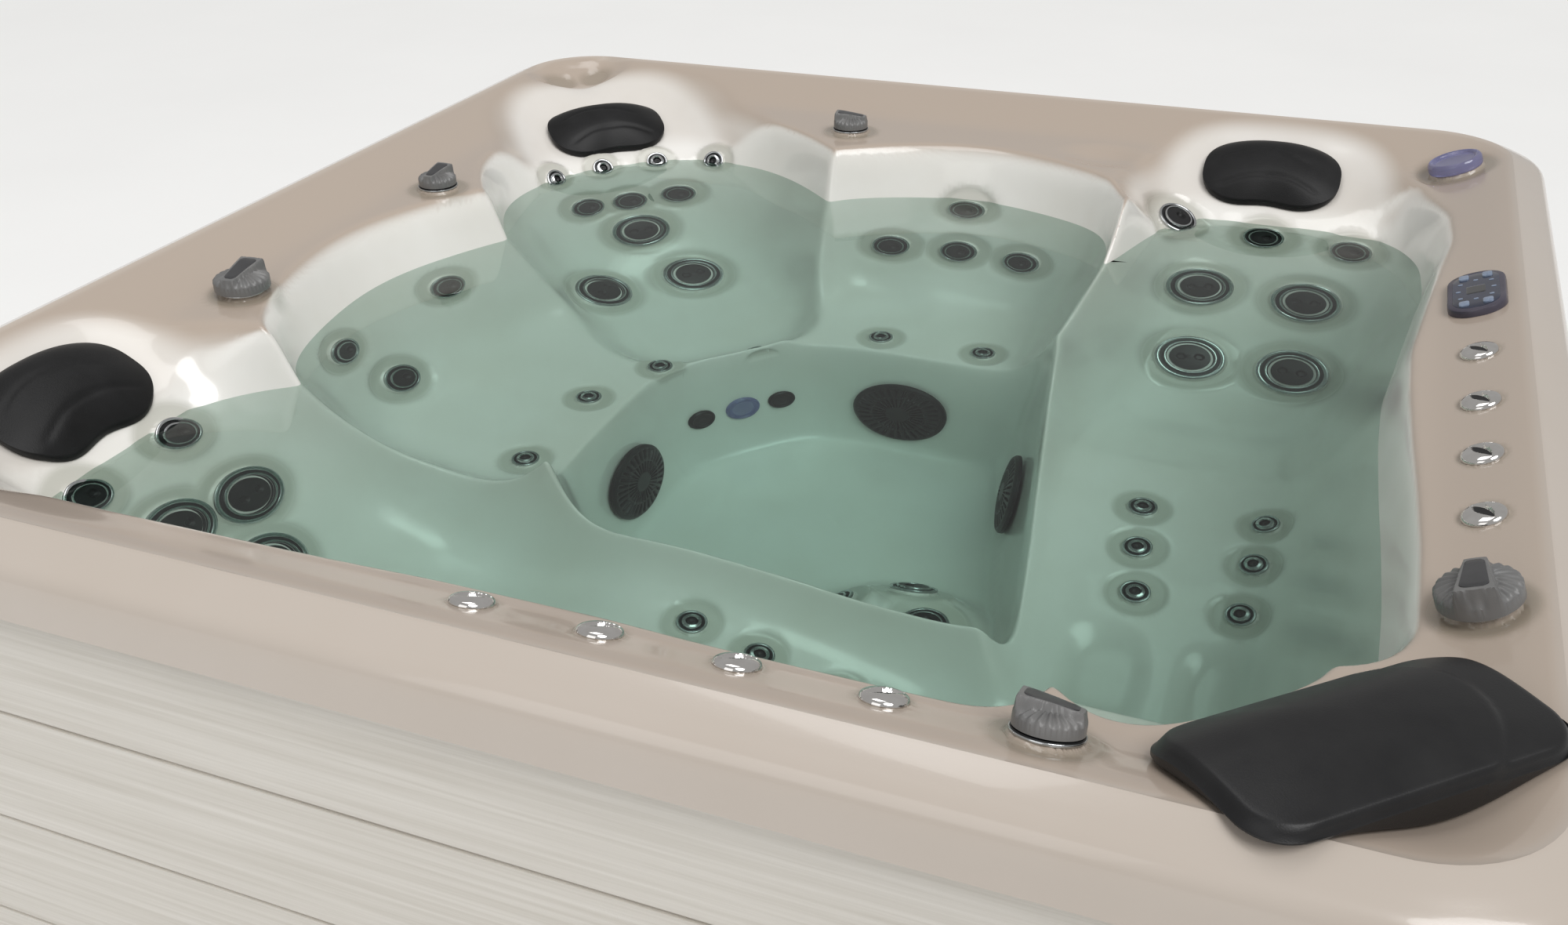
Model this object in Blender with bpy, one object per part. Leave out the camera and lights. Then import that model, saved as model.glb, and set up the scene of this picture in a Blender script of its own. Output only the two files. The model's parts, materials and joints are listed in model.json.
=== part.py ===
"""Acrylic hot tub: a vacuum-formed shell on a tray, frame and cabinet, with its jets,
valves, suction covers, skimmer filter, head pillows, control panel and pump set.

Metres, +Z up. The origin is the middle of the base, on the floor; +Y points to the far side,
and the filter stands in the +X, -Y corner. Shares of RIM_HALF place things in plan, and shares
of WELL_DEPTH, counted down from the rim's crease, place them in height.
"""
import math

import bmesh
import bpy
import numpy as np
from mathutils import Matrix, Vector
from mathutils.bvhtree import BVHTree
from mathutils.geometry import intersect_line_line_2d

# Shell: plan, heights and lip
RIM_WIDTH = 2.0           # between the rim's highest lines
RIM_HALF = RIM_WIDTH / 2
WELL_FLOOR_Z = 0.14       # the footwell's floor above the ground
WELL_DEPTH = 0.74         # the rim's highest line down to the footwell's floor
RIM_Z = WELL_FLOOR_Z + WELL_DEPTH
CORNER_R = 0.13           # rounding of the rim's corners in plan
SHELL_T = 0.008           # acrylic with its laminate
RIM_BEVEL = 0.11          # width of the slope inside the crease
RIM_FALL = 0.046          # its drop
RIM_EASE = 0.012          # rounding between the slope and the deck
LIP_STEPS = (0.036, 0.056, 0.066, 0.070)      # outward from the crease, down the lip
LIP_DROPS = (0.014, 0.025, 0.045, 0.088)      # and how far each lies below it
BLEND = 0.035             # rounding where two hollows meet
SIDE_EASE_SHARE = 0.45    # rounding at a seat's sides over that at its back
GAP = 0.0003              # between pieces that touch
PLAY = 0.0012             # between a hole and what passes through it
OVERRUN = 0.02            # how far a cutter passes through
RAY_START = 1.5           # above everything, for finding the surface
TINY = 1e-9               # keeps a division by a distance whole

# Shell mesh
EDGE_STEP = 0.003         # between the places where clearances are measured
SECTORS = 400             # bearings of the fine mesh, before it is thinned
RINGS = 110
SKIN_TRIANGLES = 2800     # both sides, once thinned
SKIN_TAP_SHARES = (0, 0.5, 0.87, 1)
CENTRE_SHARES = (0.04, -0.02)

# Base, frame and cabinet
CABINET_OUT = 0.045       # crease out to the cabinet's face
PANEL_HALF = RIM_HALF + CABINET_OUT
TRAY_H = 0.05
TRAY_FLOOR = 0.012
TRAY_WALL = 0.012
PANEL_T = 0.016
PANEL_TUCK = 0.012        # how far the cabinet rises behind the lip
PANEL_GROOVES = 3
GROOVE_W = 0.006
GROOVE_DEEP = 0.004
CABINET_R = 0.175         # rounding of the cabinet's corners in plan
CABINET_STEPS = 5
SHARP = math.radians(35)    # edges sharper than this are shaded hard
FRAME_TUBE = 0.03
FRAME_SET_BACK = 0.003    # frame tube behind the panels
SUPPORT_HALF = 0.13
SUPPORT_AT_SHARES = (0.0, -0.02)
SUPPORT_SPOTS = 14

# Fittings: outer radius of each face and what passes through the shell
SMALL_R = 0.022
MEDIUM_R = 0.037
LARGE_R = 0.061
FOUNTAIN_R = 0.025
VALVE_R = 0.036
VALVE_BODY_R = 0.024
JET_BODY_SHARE = 0.62     # body radius over face radius
FACE_T = 0.005
FACE_CROWN = 0.004
BODY_LENS = {"small": 0.030, "medium": 0.034, "large": 0.048, "fountain": 0.04, "valve": 0.04}
DROP_AT_SHARE = 0.8             # where the hose meets a body, over its length
HOSE_R = 0.012
DROP_R = 0.0105
DROP_SINK_SHARE = 0.37          # how far a drop reaches into the hose, over the hose's radius
HOSE_SIDES = 4
HOSE_TURN_SHARE = 0.15
BEND_PRICE = 1.2          # what a bend costs against length, when a hose picks its way
JET_SIDES = {"small": 6, "medium": 8, "large": 8, "fountain": 6, "valve": 8}
SUCTION_SIDES = 14
CAP_SIDES = 10
LIGHT_CUP_SIDES = 14
BUCKET_SIDES = 16
SEAT_HOSE_LIFT = 0.122    # hoses under the seats, above the footwell's floor
FOOT_HOSE_DROP = 0.05     # hose under the footwell, below its floor
SEAT_HOSE_DEPTH = WELL_DEPTH - SEAT_HOSE_LIFT
FOOT_HOSE_DEPTH = WELL_DEPTH + FOOT_HOSE_DROP
FOUNTAIN_HOSE_DEPTH = 0.2
HOSE_DEPTHS = {"foot_jets": FOOT_HOSE_DEPTH, "right_fountains": FOUNTAIN_HOSE_DEPTH,
               "near_fountains": FOUNTAIN_HOSE_DEPTH}
TURN_FACE_SHARE = 0.66    # turning face radius over large jet radius
TURN_FACE_T = 0.009
NOZZLE_SHARE = 0.55       # nozzle mouth over body radius
THROAT_SHARE = 0.7        # its inner end over its mouth

# Knobs
KNOB_R = 0.034
KNOB_H = 0.030
KNOB_BIG_SHARE = 1.25
KNOB_BAR_W = 0.020
KNOB_BAR_H = 0.010
SPINDLE_R = 0.008
SPINDLE_LEN = 0.012
KNOB_SIDES = 12

# Suctions, caps and lamp in the footwell
SUCTION_R = 0.085
SUCTION_T = 0.016
SUCTION_TAIL_R = 0.03
CAP_R = 0.026
LAMP_R = 0.032
TAIL_LEN = 0.04
CAP_TAIL = 0.022
LIGHT_CUP_R = 0.046
LIGHT_CUP_H = 0.020

# Control panel
CONSOLE_L = 0.150
CONSOLE_W = 0.080
CONSOLE_T = 0.012
CONSOLE_BODY = 0.030
BUTTON_L = 0.017
BUTTON_W = 0.014
BUTTON_T = 0.007
BUTTON_PROUD = 0.0025
BUTTON_TRAVEL = 0.0015
BUTTON_PITCH = 0.100

# Filter corner
WELL_AT_SHARES = (0.835, -0.855)
WELL_R = 0.072
WELL_WALL = 0.004
WELL_LEN = 0.46
MOUTH_W = 0.12
MOUTH_H = 0.085
MOUTH_LOW_DEPTH = 0.185   # crease down to the mouth's sill
MOUTH_LEN = 0.155
WEIR_T = 0.005
WEIR_PIN_R = 0.004
WEIR_PIN_SIDES = 8
CARTRIDGE_R = 0.056
CARTRIDGE_LEN = 0.30
CARTRIDGE_BORE = 0.022
CARTRIDGE_SIDES = 16
BORE_SIDES = 10
LID_L = 0.345
LID_W = 0.185
LID_R = 0.045
LID_AT_SHARES = (0.835, -0.865)
LID_TURN = math.radians(43.0)
LID_TOP = 0.034           # above the crease at its middle
LID_CROWN = 0.016
LID_FRONT_FALL = 0.036
LID_CLEAR = 0.004
LID_REACH = 0.012         # how far round each point its base clears the shell
LID_RING_SHARES = (1, 0.93, 0.8, 0.6, 0.35)

# Pillows
PILLOW_L = 0.25
PILLOW_W = 0.145
PILLOW_T = 0.048
PILLOW_CLEAR = 0.003      # above the shell, before it is settled on it
PILLOW_WAIST_SHARE = 0.20
PILLOW_EDGE_SHARE = 0.30  # height of its edge over its thickness
PILLOW_FOOT_SHARE = 0.93  # underside over outline
PILLOW_SEAM = 0.0035      # depth of its seam
PILLOW_SIDES = 22
PILLOW_LEVELS = 4

# Pump set
MOTOR_R = 0.072
MOTOR_LEN = 0.25
VOLUTE_R = 0.09
VOLUTE_LEN = 0.085
PUMP_AT_SHARES = (-0.86, -0.78)
HEATER_R = 0.04
HEATER_LEN = 0.36
HEATER_AT_SHARES = (-0.93, 0.55)
BOX_SIZE = (0.13, 0.32, 0.26)
BOX_AT_SHARES = (-0.91, -0.08)
BLOWER_R = 0.085
BLOWER_H = 0.17
BLOWER_AT_SHARES = (-0.78, 0.80)
SADDLE_H = 0.012
PUMP_SIDES = 14
HEATER_SIDES = 10

# Hollows: middle in plan, half depth along its back and half width (shares of RIM_HALF), the
# bearing of its back in degrees, corner power, floor (share of WELL_DEPTH), back and side
# slopes, and the rounding between floor and wall (share of RIM_HALF)
POCKET_SHARES = {
    "corner_seat": dict(at=(-0.40, 0.37), half=(0.265, 0.218), back=135, power=3.2,
                        floor=0.709, walls=(2.3, 4.0), ease=0.070),
    "back_seat": dict(at=(0.06, 0.385), half=(0.205, 0.232), back=90, power=4.5,
                      floor=0.615, walls=(2.4, 4.5), ease=0.045),
    "left_seat": dict(at=(-0.46, -0.06), half=(0.222, 0.315), back=173, power=3.6,
                      floor=0.585, walls=(2.4, 4.2), ease=0.045),
}
# Footwell: straight sides given by bearing and distance from the tub's middle
WELL_SIDES = ((135, 0.228), (90, 0.238), (11, 0.318), (270, 0.368), (180, 0.272), (225, 0.40))
WELL_SLOPE = 7.5
WELL_EASE_SHARE = 0.012
# Loungers: length runs along the bearing, head last; stations are shares of RIM_HALF along it,
# with the bed's drop (share of WELL_DEPTH) and its edges on the wall's and the pool's side
LOUNGER_SHARES = {
    "right_lounger": dict(
        at=(0.615, 0.0), back=90, wall=5.2, ease=0.026, ends=(-0.60, 0.80),
        run=(-0.60, -0.45, -0.32, -0.20, -0.05, 0.08, 0.20, 0.31, 0.42, 0.51, 0.64, 0.755, 0.86, 1.0),
        drop=(0.795, 0.79, 0.75, 0.70, 0.655, 0.65, 0.70, 0.743, 0.72, 0.635, 0.44, 0.19, 0.125, 0.02),
        wall_edge=(-0.16, -0.16, -0.16, -0.16, -0.16, -0.16, -0.165, -0.17, -0.185, -0.21, -0.235,
                   -0.245, -0.25, -0.25),
        pool_edge=(0.205, 0.21, 0.225, 0.235, 0.25, 0.255, 0.25, 0.225, 0.19, 0.175, 0.17, 0.165, 0.16,
                   0.16)),
    "near_lounger": dict(
        at=(0.0, -0.66), back=180, wall=6.0, ease=0.026, ends=(-0.47, 0.82),
        run=(-0.47, -0.34, -0.22, -0.10, 0.02, 0.10, 0.20, 0.31, 0.42, 0.54, 0.66, 0.77, 0.88, 1.0),
        drop=(0.785, 0.78, 0.735, 0.685, 0.655, 0.655, 0.70, 0.74, 0.72, 0.63, 0.44, 0.20, 0.125, 0.03),
        wall_edge=(0.14, 0.14, 0.145, 0.145, 0.15, 0.15, 0.15, 0.15, 0.155, 0.17, 0.195, 0.205, 0.20,
                   0.19),
        pool_edge=(-0.24, -0.245, -0.25, -0.25, -0.25, -0.25, -0.25, -0.26, -0.27, -0.27, -0.25,
                   -0.22, -0.19, -0.17)),
}
# Headrests: sloping dishes above the water at the corner seat and at the loungers' heads
DISH_SHARES = {
    "corner_dish": dict(at=(-0.70, 0.70), half=(0.26, 0.21), back=135, power=2.6, low=0.19,
                        rise=0.37, wall=1.6, ease=0.04, from_share=0.967),
    "back_dish": dict(at=(0.61, 0.80), half=(0.17, 0.20), back=90, power=3.0, low=0.19,
                      rise=0.46, wall=1.6, ease=0.035, from_share=0.755),
    "near_dish": dict(at=(-0.82, -0.655), half=(0.15, 0.185), back=180, power=3.0, low=0.19,
                      rise=0.50, wall=1.6, ease=0.035, from_share=0.765),
}
DOME_AT_SHARES = (0.25, -0.29)
DOME_HALF_SHARES = (0.15, 0.12)
DOME_SHARE = 0.15         # height of the foot dome over WELL_DEPTH

# Jets: kind and place. A wall jet is met by a level line from its seat, given as a bearing in
# degrees and a drop share; a seat jet is met from above, given as two shares of RIM_HALF
BANK_SHARES = {
    "corner_seat_jets": dict(seat=(-0.40, 0.42), wall=(
        ("small", 160, 0.19), ("small", 144, 0.19), ("small", 127, 0.19), ("small", 109, 0.19),
        ("medium", 157, 0.37), ("medium", 141, 0.38), ("medium", 122, 0.37),
        ("large", 143, 0.52)), top=(
        ("large", -0.585, 0.355), ("large", -0.455, 0.505), ("small", -0.325, 0.105),
        ("small", -0.20, 0.225)), valves=(("left_far_knob", -0.82, 0.205),)),
    "back_seat_jets": dict(seat=(0.06, 0.30), wall=(
        ("medium", 91, 0.24), ("medium", 113, 0.44), ("medium", 90, 0.44), ("medium", 68, 0.44)),
        top=(("small", 0.0, 0.335), ("small", 0.19, 0.335)),
        valves=(("back_knob", -0.215, 0.775),)),
    "left_seat_jets": dict(seat=(-0.45, -0.10), wall=(
        ("medium", 149, 0.31), ("medium", 201, 0.31), ("medium", 195, 0.50)), top=(
        ("small", -0.385, -0.06), ("small", -0.385, -0.27)),
        valves=(("left_big_knob", -0.835, -0.315),)),
    "lounger_back_jets": dict(seat=(0.61, 0.40), wall=(), top=(
        ("medium", 0.45, 0.725), ("medium", 0.61, 0.735), ("medium", 0.765, 0.725),
        ("large", 0.515, 0.62), ("large", 0.705, 0.62), ("large", 0.53, 0.47),
        ("large", 0.705, 0.47)), valves=()),
    "lounger_calf_jets": dict(seat=(0.61, 0.0), wall=(), top=(
        ("small", 0.535, -0.03), ("small", 0.545, -0.12), ("small", 0.56, -0.21),
        ("small", 0.705, -0.22), ("small", 0.71, -0.12), ("small", 0.715, -0.03)),
        valves=(("right_knob", 0.94, -0.585),)),
    "near_lounger_jets": dict(seat=(-0.5, -0.6), wall=(), top=(
        ("medium", -0.765, -0.575), ("medium", -0.76, -0.755), ("large", -0.675, -0.70),
        ("large", -0.66, -0.58), ("large", -0.575, -0.65), ("small", 0.01, -0.51),
        ("small", 0.115, -0.525), ("small", 0.235, -0.535)),
        valves=(("near_knob", 0.575, -0.935),)),
    "foot_jets": dict(seat=(0.2, -0.2), wall=(), top=(
        ("medium", 0.13, -0.27), ("medium", 0.235, -0.21), ("medium", 0.28, -0.30)), valves=()),
    "right_fountains": dict(seat=(0.9, 0.0), wall=(), top=(
        ("fountain", 0.944, 0.045), ("fountain", 0.944, -0.11), ("fountain", 0.944, -0.255),
        ("fountain", 0.944, -0.40)), valves=()),
    "near_fountains": dict(seat=(0.0, -0.9), wall=(), top=(
        ("fountain", -0.03, -0.93), ("fountain", 0.12, -0.93), ("fountain", 0.27, -0.93),
        ("fountain", 0.42, -0.93)), valves=()),
}
FACE_RADII = {"small": SMALL_R, "medium": MEDIUM_R, "large": LARGE_R, "fountain": FOUNTAIN_R}
SUCTION_SHARES = {"suction_left": (197, 0.85), "suction_back": (84, 0.85), "suction_right": (16, 0.85)}
RISER_FITTINGS = {"riser_cap_left": (160, CAP_R), "footwell_lamp": (145, LAMP_R),
                  "riser_cap_right": (130, CAP_R)}
RISER_SHARE = 0.83
PILLOW_SHARES = {"corner_pillow": (-0.762, 0.752, 135), "lounger_pillow": (0.60, 0.86, 90),
           "near_pillow": (-0.865, -0.655, 180)}
PANEL_AT_SHARES = (0.944, 0.245)
LIGHT_CUP_AT_SHARES = (0.918, 0.865)

# Colours and finishes: colour, roughness, metallic
FINISHES = {
    "acrylic": ((0.62, 0.56, 0.52), 0.18, 0.0),
    "abs_black": ((0.015, 0.015, 0.017), 0.45, 0.0),
    "abs_grey": ((0.10, 0.10, 0.11), 0.40, 0.0),
    "stainless": ((0.55, 0.56, 0.57), 0.22, 1.0),
    "chrome": ((0.75, 0.74, 0.73), 0.08, 1.0),
    "pillow_foam": ((0.018, 0.018, 0.020), 0.60, 0.0),
    "console_film": ((0.03, 0.05, 0.12), 0.25, 0.0),
    "button_film": ((0.35, 0.38, 0.45), 0.35, 0.0),
    "clear_lens": ((0.45, 0.48, 0.85), 0.10, 0.0),
    "cabinet_board": ((0.78, 0.77, 0.75), 0.55, 0.0),
    "galvanised": ((0.50, 0.51, 0.52), 0.45, 1.0),
    "cartridge_paper": ((0.80, 0.82, 0.84), 0.80, 0.0),
    "foam_block": ((0.30, 0.31, 0.32), 0.90, 0.0),
    "motor_paint": ((0.06, 0.07, 0.09), 0.50, 0.2),
}


def clear_scene():
    for thing in list(bpy.data.objects):
        bpy.data.objects.remove(thing, do_unlink=True)


def finish(name):
    if name in bpy.data.materials:
        return bpy.data.materials[name]
    colour, roughness, metallic = FINISHES[name]
    made = bpy.data.materials.new(name)
    made.use_nodes = True
    shader = made.node_tree.nodes["Principled BSDF"]
    shader.inputs["Base Color"].default_value = (*colour, 1)
    shader.inputs["Roughness"].default_value = roughness
    shader.inputs["Metallic"].default_value = metallic
    return made


def add_object(name, bm, look=None, place=None):
    """Makes a named object of a bmesh, with its faces turned out."""
    bmesh.ops.recalc_face_normals(bm, faces=bm.faces)
    mesh = bpy.data.meshes.new(name)
    bm.to_mesh(mesh)
    bm.free()
    made = bpy.data.objects.new(name, mesh)
    bpy.context.collection.objects.link(made)
    if place is not None:
        made.matrix_world = place
    if look:
        mesh.materials.append(finish(look))
    else:
        made.hide_render = True
        made.display_type = "WIRE"
    return made


def cut(body, tool, how="DIFFERENCE"):
    """Adds a Boolean of one hidden tool to a body."""
    modifier = body.modifiers.new(how.lower(), "BOOLEAN")
    modifier.operation = how
    modifier.object = tool
    modifier.solver = "EXACT"


def lathe_into(bm, profile, sides, place):
    """Turns a profile of (radius, height) points about Z, from axis to axis."""
    rings = []
    for radius, height in profile:
        if radius <= 0:
            rings.append([bm.verts.new(place @ Vector((0, 0, height)))])
            continue
        turn = [2 * math.pi * k / sides for k in range(sides)]
        rings.append([bm.verts.new(place @ Vector((radius * math.cos(a), radius * math.sin(a), height)))
                      for a in turn])
    join_rings(bm, rings)


def lathe(name, profile, sides, place, look=None):
    bm = bmesh.new()
    lathe_into(bm, profile, sides, place)
    return add_object(name, bm, look)


def lathe_at(name, profile, sides, place, look):
    """A turned piece whose own origin and Z axis are its joint's."""
    bm = bmesh.new()
    lathe_into(bm, profile, sides, Matrix.Identity(4))
    return add_object(name, bm, look, place)


def box_into(bm, low, high, place=None):
    corners = [Vector((x, y, z)) for z in (low[2], high[2]) for y in (low[1], high[1])
               for x in (low[0], high[0])]
    verts = [bm.verts.new(place @ c if place else c) for c in corners]
    for face in ((0, 2, 3, 1), (4, 5, 7, 6), (0, 1, 5, 4), (2, 6, 7, 3), (0, 4, 6, 2), (1, 3, 7, 5)):
        bm.faces.new([verts[i] for i in face])


def box(name, low, high, look=None, place=None):
    bm = bmesh.new()
    box_into(bm, low, high, place)
    return add_object(name, bm, look)


def slab_into(bm, outline, low, high, place):
    """A straight prism over a plan outline."""
    bottom = [bm.verts.new(place @ Vector((x, y, low))) for x, y in outline]
    top = [bm.verts.new(place @ Vector((x, y, high))) for x, y in outline]
    bm.faces.new(list(reversed(bottom)))
    bm.faces.new(top)
    count = len(outline)
    for k in range(count):
        n = (k + 1) % count
        bm.faces.new((bottom[k], bottom[n], top[n], top[k]))


def round_rect(length, width, radius, steps=3):
    points = []
    for cx, cy, start in ((1, 1, 0), (-1, 1, 90), (-1, -1, 180), (1, -1, 270)):
        for k in range(steps + 1):
            a = math.radians(start + 90 * k / steps)
            points.append((cx * (length / 2 - radius) + radius * math.cos(a),
                           cy * (width / 2 - radius) + radius * math.sin(a)))
    return points


def split_sides(points, longest):
    """The outline with more points on its long sides."""
    made = []
    for a, b in zip(points, points[1:] + points[:1]):
        count = max(1, round(math.dist(a, b) / longest))
        made += [(a[0] + (b[0] - a[0]) * k / count, a[1] + (b[1] - a[1]) * k / count)
                 for k in range(count)]
    return made


def soft_min(a, b, k):
    h = np.clip((1 + (b - a) / k) / 2, 0, 1)
    return b * (1 - h) + a * h - k * h * (1 - h)


def soft_plus(d, w):
    return w * np.logaddexp(0, d / w)


def past_outline(u, v, half_u, half_v, power):
    """How far a point lies past a rounded-box outline, measured along the line to its middle."""
    reach = (np.abs(u / half_u) ** power + np.abs(v / half_v) ** power) ** (1 / power) + TINY
    return np.hypot(u, v) * (1 - 1 / reach)


def local(x, y, at, back):
    """Plan coordinates in a hollow: along its back's bearing, and across."""
    a = math.radians(back)
    dx, dy = x - at[0] * RIM_HALF, y - at[1] * RIM_HALF
    return dx * math.cos(a) + dy * math.sin(a), -dx * math.sin(a) + dy * math.cos(a)


def past_rim(x, y):
    """Distance outside the crease; negative inside."""
    qx, qy = np.abs(x) - (RIM_HALF - CORNER_R), np.abs(y) - (RIM_HALF - CORNER_R)
    outside = np.hypot(np.maximum(qx, 0), np.maximum(qy, 0))
    return outside + np.minimum(np.maximum(qx, qy), 0) - CORNER_R


def rim_height(x, y):
    inside = -past_rim(x, y)
    slope = RIM_FALL / RIM_BEVEL
    return RIM_Z - RIM_FALL + soft_plus(RIM_BEVEL - inside, RIM_EASE) * slope - soft_plus(
        -inside, RIM_EASE) * slope


def seat_height(x, y, seat):
    u, v = local(x, y, seat["at"], seat["back"])
    half = [share * RIM_HALF for share in seat["half"]]
    d = past_outline(u, v, half[0], half[1], seat["power"])
    facing = np.clip(u / (np.hypot(u, v) + TINY), 0, 1) ** 2
    slope = seat["walls"][1] + (seat["walls"][0] - seat["walls"][1]) * facing
    ease = seat["ease"] * RIM_HALF * (SIDE_EASE_SHARE + (1 - SIDE_EASE_SHARE) * facing)
    return RIM_Z - seat["floor"] * WELL_DEPTH + slope * soft_plus(d, ease)


def lounger_height(x, y, seat):
    u, v = local(x, y, seat["at"], seat["back"])
    run = np.array(seat["run"]) * RIM_HALF
    ease = seat["ease"] * RIM_HALF
    taps = (-ease, -ease / 2, 0, ease / 2, ease)

    def along(shares, unit):
        return sum(np.interp(u + tap, run, np.array(shares) * unit) for tap in taps) / len(taps)

    low, high = (end * RIM_HALF for end in seat["ends"])
    edges = along(seat["wall_edge"], RIM_HALF), along(seat["pool_edge"], RIM_HALF)
    past_end = soft_plus(np.maximum(low - u, u - high), ease / 2)
    past_side = soft_plus(np.maximum(np.minimum(*edges) - v, v - np.maximum(*edges)), ease)
    return RIM_Z - along(seat["drop"], WELL_DEPTH) + seat["wall"] * np.hypot(past_side, past_end)


def well_height(x, y):
    ease = WELL_EASE_SHARE * RIM_HALF
    past = [x * math.cos(math.radians(b)) + y * math.sin(math.radians(b)) - d * RIM_HALF
            for b, d in WELL_SIDES]
    outside = ease * 2 * np.logaddexp.reduce([p / (ease * 2) for p in past], axis=0)
    return RIM_Z - WELL_DEPTH + WELL_SLOPE * soft_plus(outside, ease)


def dish_height(x, y, dish):
    u, v = local(x, y, dish["at"], dish["back"])
    half = [share * RIM_HALF for share in dish["half"]]
    d = past_outline(u, v, half[0], half[1], dish["power"])
    a = math.radians(dish["back"])
    along = x * math.cos(a) + y * math.sin(a) - dish["from_share"] * RIM_HALF
    plane = RIM_Z - dish["low"] * WELL_DEPTH + dish["rise"] * along
    return plane + dish["wall"] * soft_plus(d, dish["ease"] * RIM_HALF)


def surface(x, y):
    """Height of the shell's water side over the plan."""
    z = rim_height(x, y)
    for dish in DISH_SHARES.values():
        z = soft_min(z, dish_height(x, y, dish), BLEND)
    for seat in LOUNGER_SHARES.values():
        z = soft_min(z, lounger_height(x, y, seat), BLEND)
    for seat in POCKET_SHARES.values():
        z = soft_min(z, seat_height(x, y, seat), BLEND)
    z = soft_min(z, well_height(x, y), BLEND)
    dome_u = (x - DOME_AT_SHARES[0] * RIM_HALF) / (DOME_HALF_SHARES[0] * RIM_HALF)
    dome_v = (y - DOME_AT_SHARES[1] * RIM_HALF) / (DOME_HALF_SHARES[1] * RIM_HALF)
    dome = RIM_Z - WELL_DEPTH + DOME_SHARE * WELL_DEPTH * np.exp(-(dome_u ** 2 + dome_v ** 2) ** 2)
    return -soft_min(-z, -dome, BLEND / 2)


def rim_reach(turns, past):
    """Distances from the shell's middle to the line that lies past the crease."""
    cx, cy = (share * RIM_HALF for share in CENTRE_SHARES)
    near, far = np.zeros_like(turns), np.full_like(turns, 2 * RIM_HALF)
    for _ in range(40):
        mid = (near + far) / 2
        inside = past_rim(cx + mid * np.cos(turns), cy + mid * np.sin(turns)) < past
        near, far = np.where(inside, mid, near), np.where(inside, far, mid)
    return far


def under_surface(x, y):
    """Height of the shell's dry side: a laminate thickness in from the water side."""
    low = surface(x, y) - SHELL_T
    for share in SKIN_TAP_SHARES[1:]:
        drop = SHELL_T * math.sqrt(1 - share ** 2)
        for k in range(12):
            a = math.pi * k / 6
            reach = SHELL_T * share
            low = np.minimum(low, surface(x + reach * math.cos(a), y + reach * math.sin(a)) - drop)
    return low


def lip_under():
    """The lip's dry side: how far past the crease, and how far below it, for each of its lines."""
    line = [Vector((0, 0))] + [Vector((out, -drop)) for out, drop in zip(LIP_STEPS, LIP_DROPS)]
    inner = []
    for k in range(1, len(line)):
        along = (line[k] - line[k - 1]).normalized()
        if k < len(line) - 1:
            along = (along + (line[k + 1] - line[k]).normalized()).normalized()
        inner.append(line[k] + Vector((along.y, -along.x)) * SHELL_T)
    inner[-1].y = line[-1].y
    return [(point.x, -point.y) for point in inner]


def shell_skin():
    """The shell as one closed mesh: a fine grid over the plan for each side, then thinned."""
    bm = bmesh.new()
    cx, cy = (share * RIM_HALF for share in CENTRE_SHARES)
    turns = np.linspace(0, 2 * math.pi, SECTORS + 1)[:-1]
    crease = rim_reach(turns, 0)
    shares = np.linspace(0, 1, RINGS + 1)[1:, None]
    x, y = cx + shares * crease * np.cos(turns), cy + shares * crease * np.sin(turns)
    sides = []
    for height, lip in ((surface, list(zip(LIP_STEPS, LIP_DROPS))), (under_surface, lip_under())):
        middle = bm.verts.new((cx, cy, float(height(np.array(cx), np.array(cy)))))
        rings = [[middle]] + [[bm.verts.new(point) for point in zip(*ring)]
                              for ring in zip(x, y, height(x, y))]
        for past, drop in lip:
            reach = rim_reach(turns, past)
            rings.append([bm.verts.new((cx + r * math.cos(a), cy + r * math.sin(a), RIM_Z - drop))
                          for r, a in zip(reach, turns)])
        sides.append(rings)
    sides[0].extend(reversed(sides[1]))
    join_rings(bm, sides[0])
    bmesh.ops.recalc_face_normals(bm, faces=bm.faces)
    return thinned(bm)


def join_rings(bm, rings):
    """Faces between neighbouring rings; a ring of one vertex closes to a point."""
    for low, high in zip(rings, rings[1:]):
        count = max(len(low), len(high))
        for k in range(count):
            n = (k + 1) % count
            if len(low) == 1:
                bm.faces.new((low[0], high[n], high[k]))
            elif len(high) == 1:
                bm.faces.new((low[k], low[n], high[0]))
            else:
                bm.faces.new((low[k], low[n], high[n], high[k]))


def thinned(bm):
    """The mesh brought down to SKIN_TRIANGLES, keeping its ridges and edges."""
    mesh = bpy.data.meshes.new("shell_fine")
    triangles = sum(len(face.verts) - 2 for face in bm.faces)
    bm.to_mesh(mesh)
    bm.free()
    fine = bpy.data.objects.new("shell_fine", mesh)
    bpy.context.collection.objects.link(fine)
    fine.modifiers.new("thin", "DECIMATE").ratio = SKIN_TRIANGLES / triangles
    thin = bmesh.new()
    thin.from_object(fine, bpy.context.evaluated_depsgraph_get())
    bpy.data.objects.remove(fine, do_unlink=True)
    return thin


def along_edges(bm):
    """Places all along a mesh's edges."""
    spots = []
    for edge in bm.edges:
        count = math.ceil(edge.calc_length() / EDGE_STEP)
        spots += [edge.verts[0].co.lerp(edge.verts[1].co, k / count) for k in range(count + 1)]
    return spots


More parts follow.
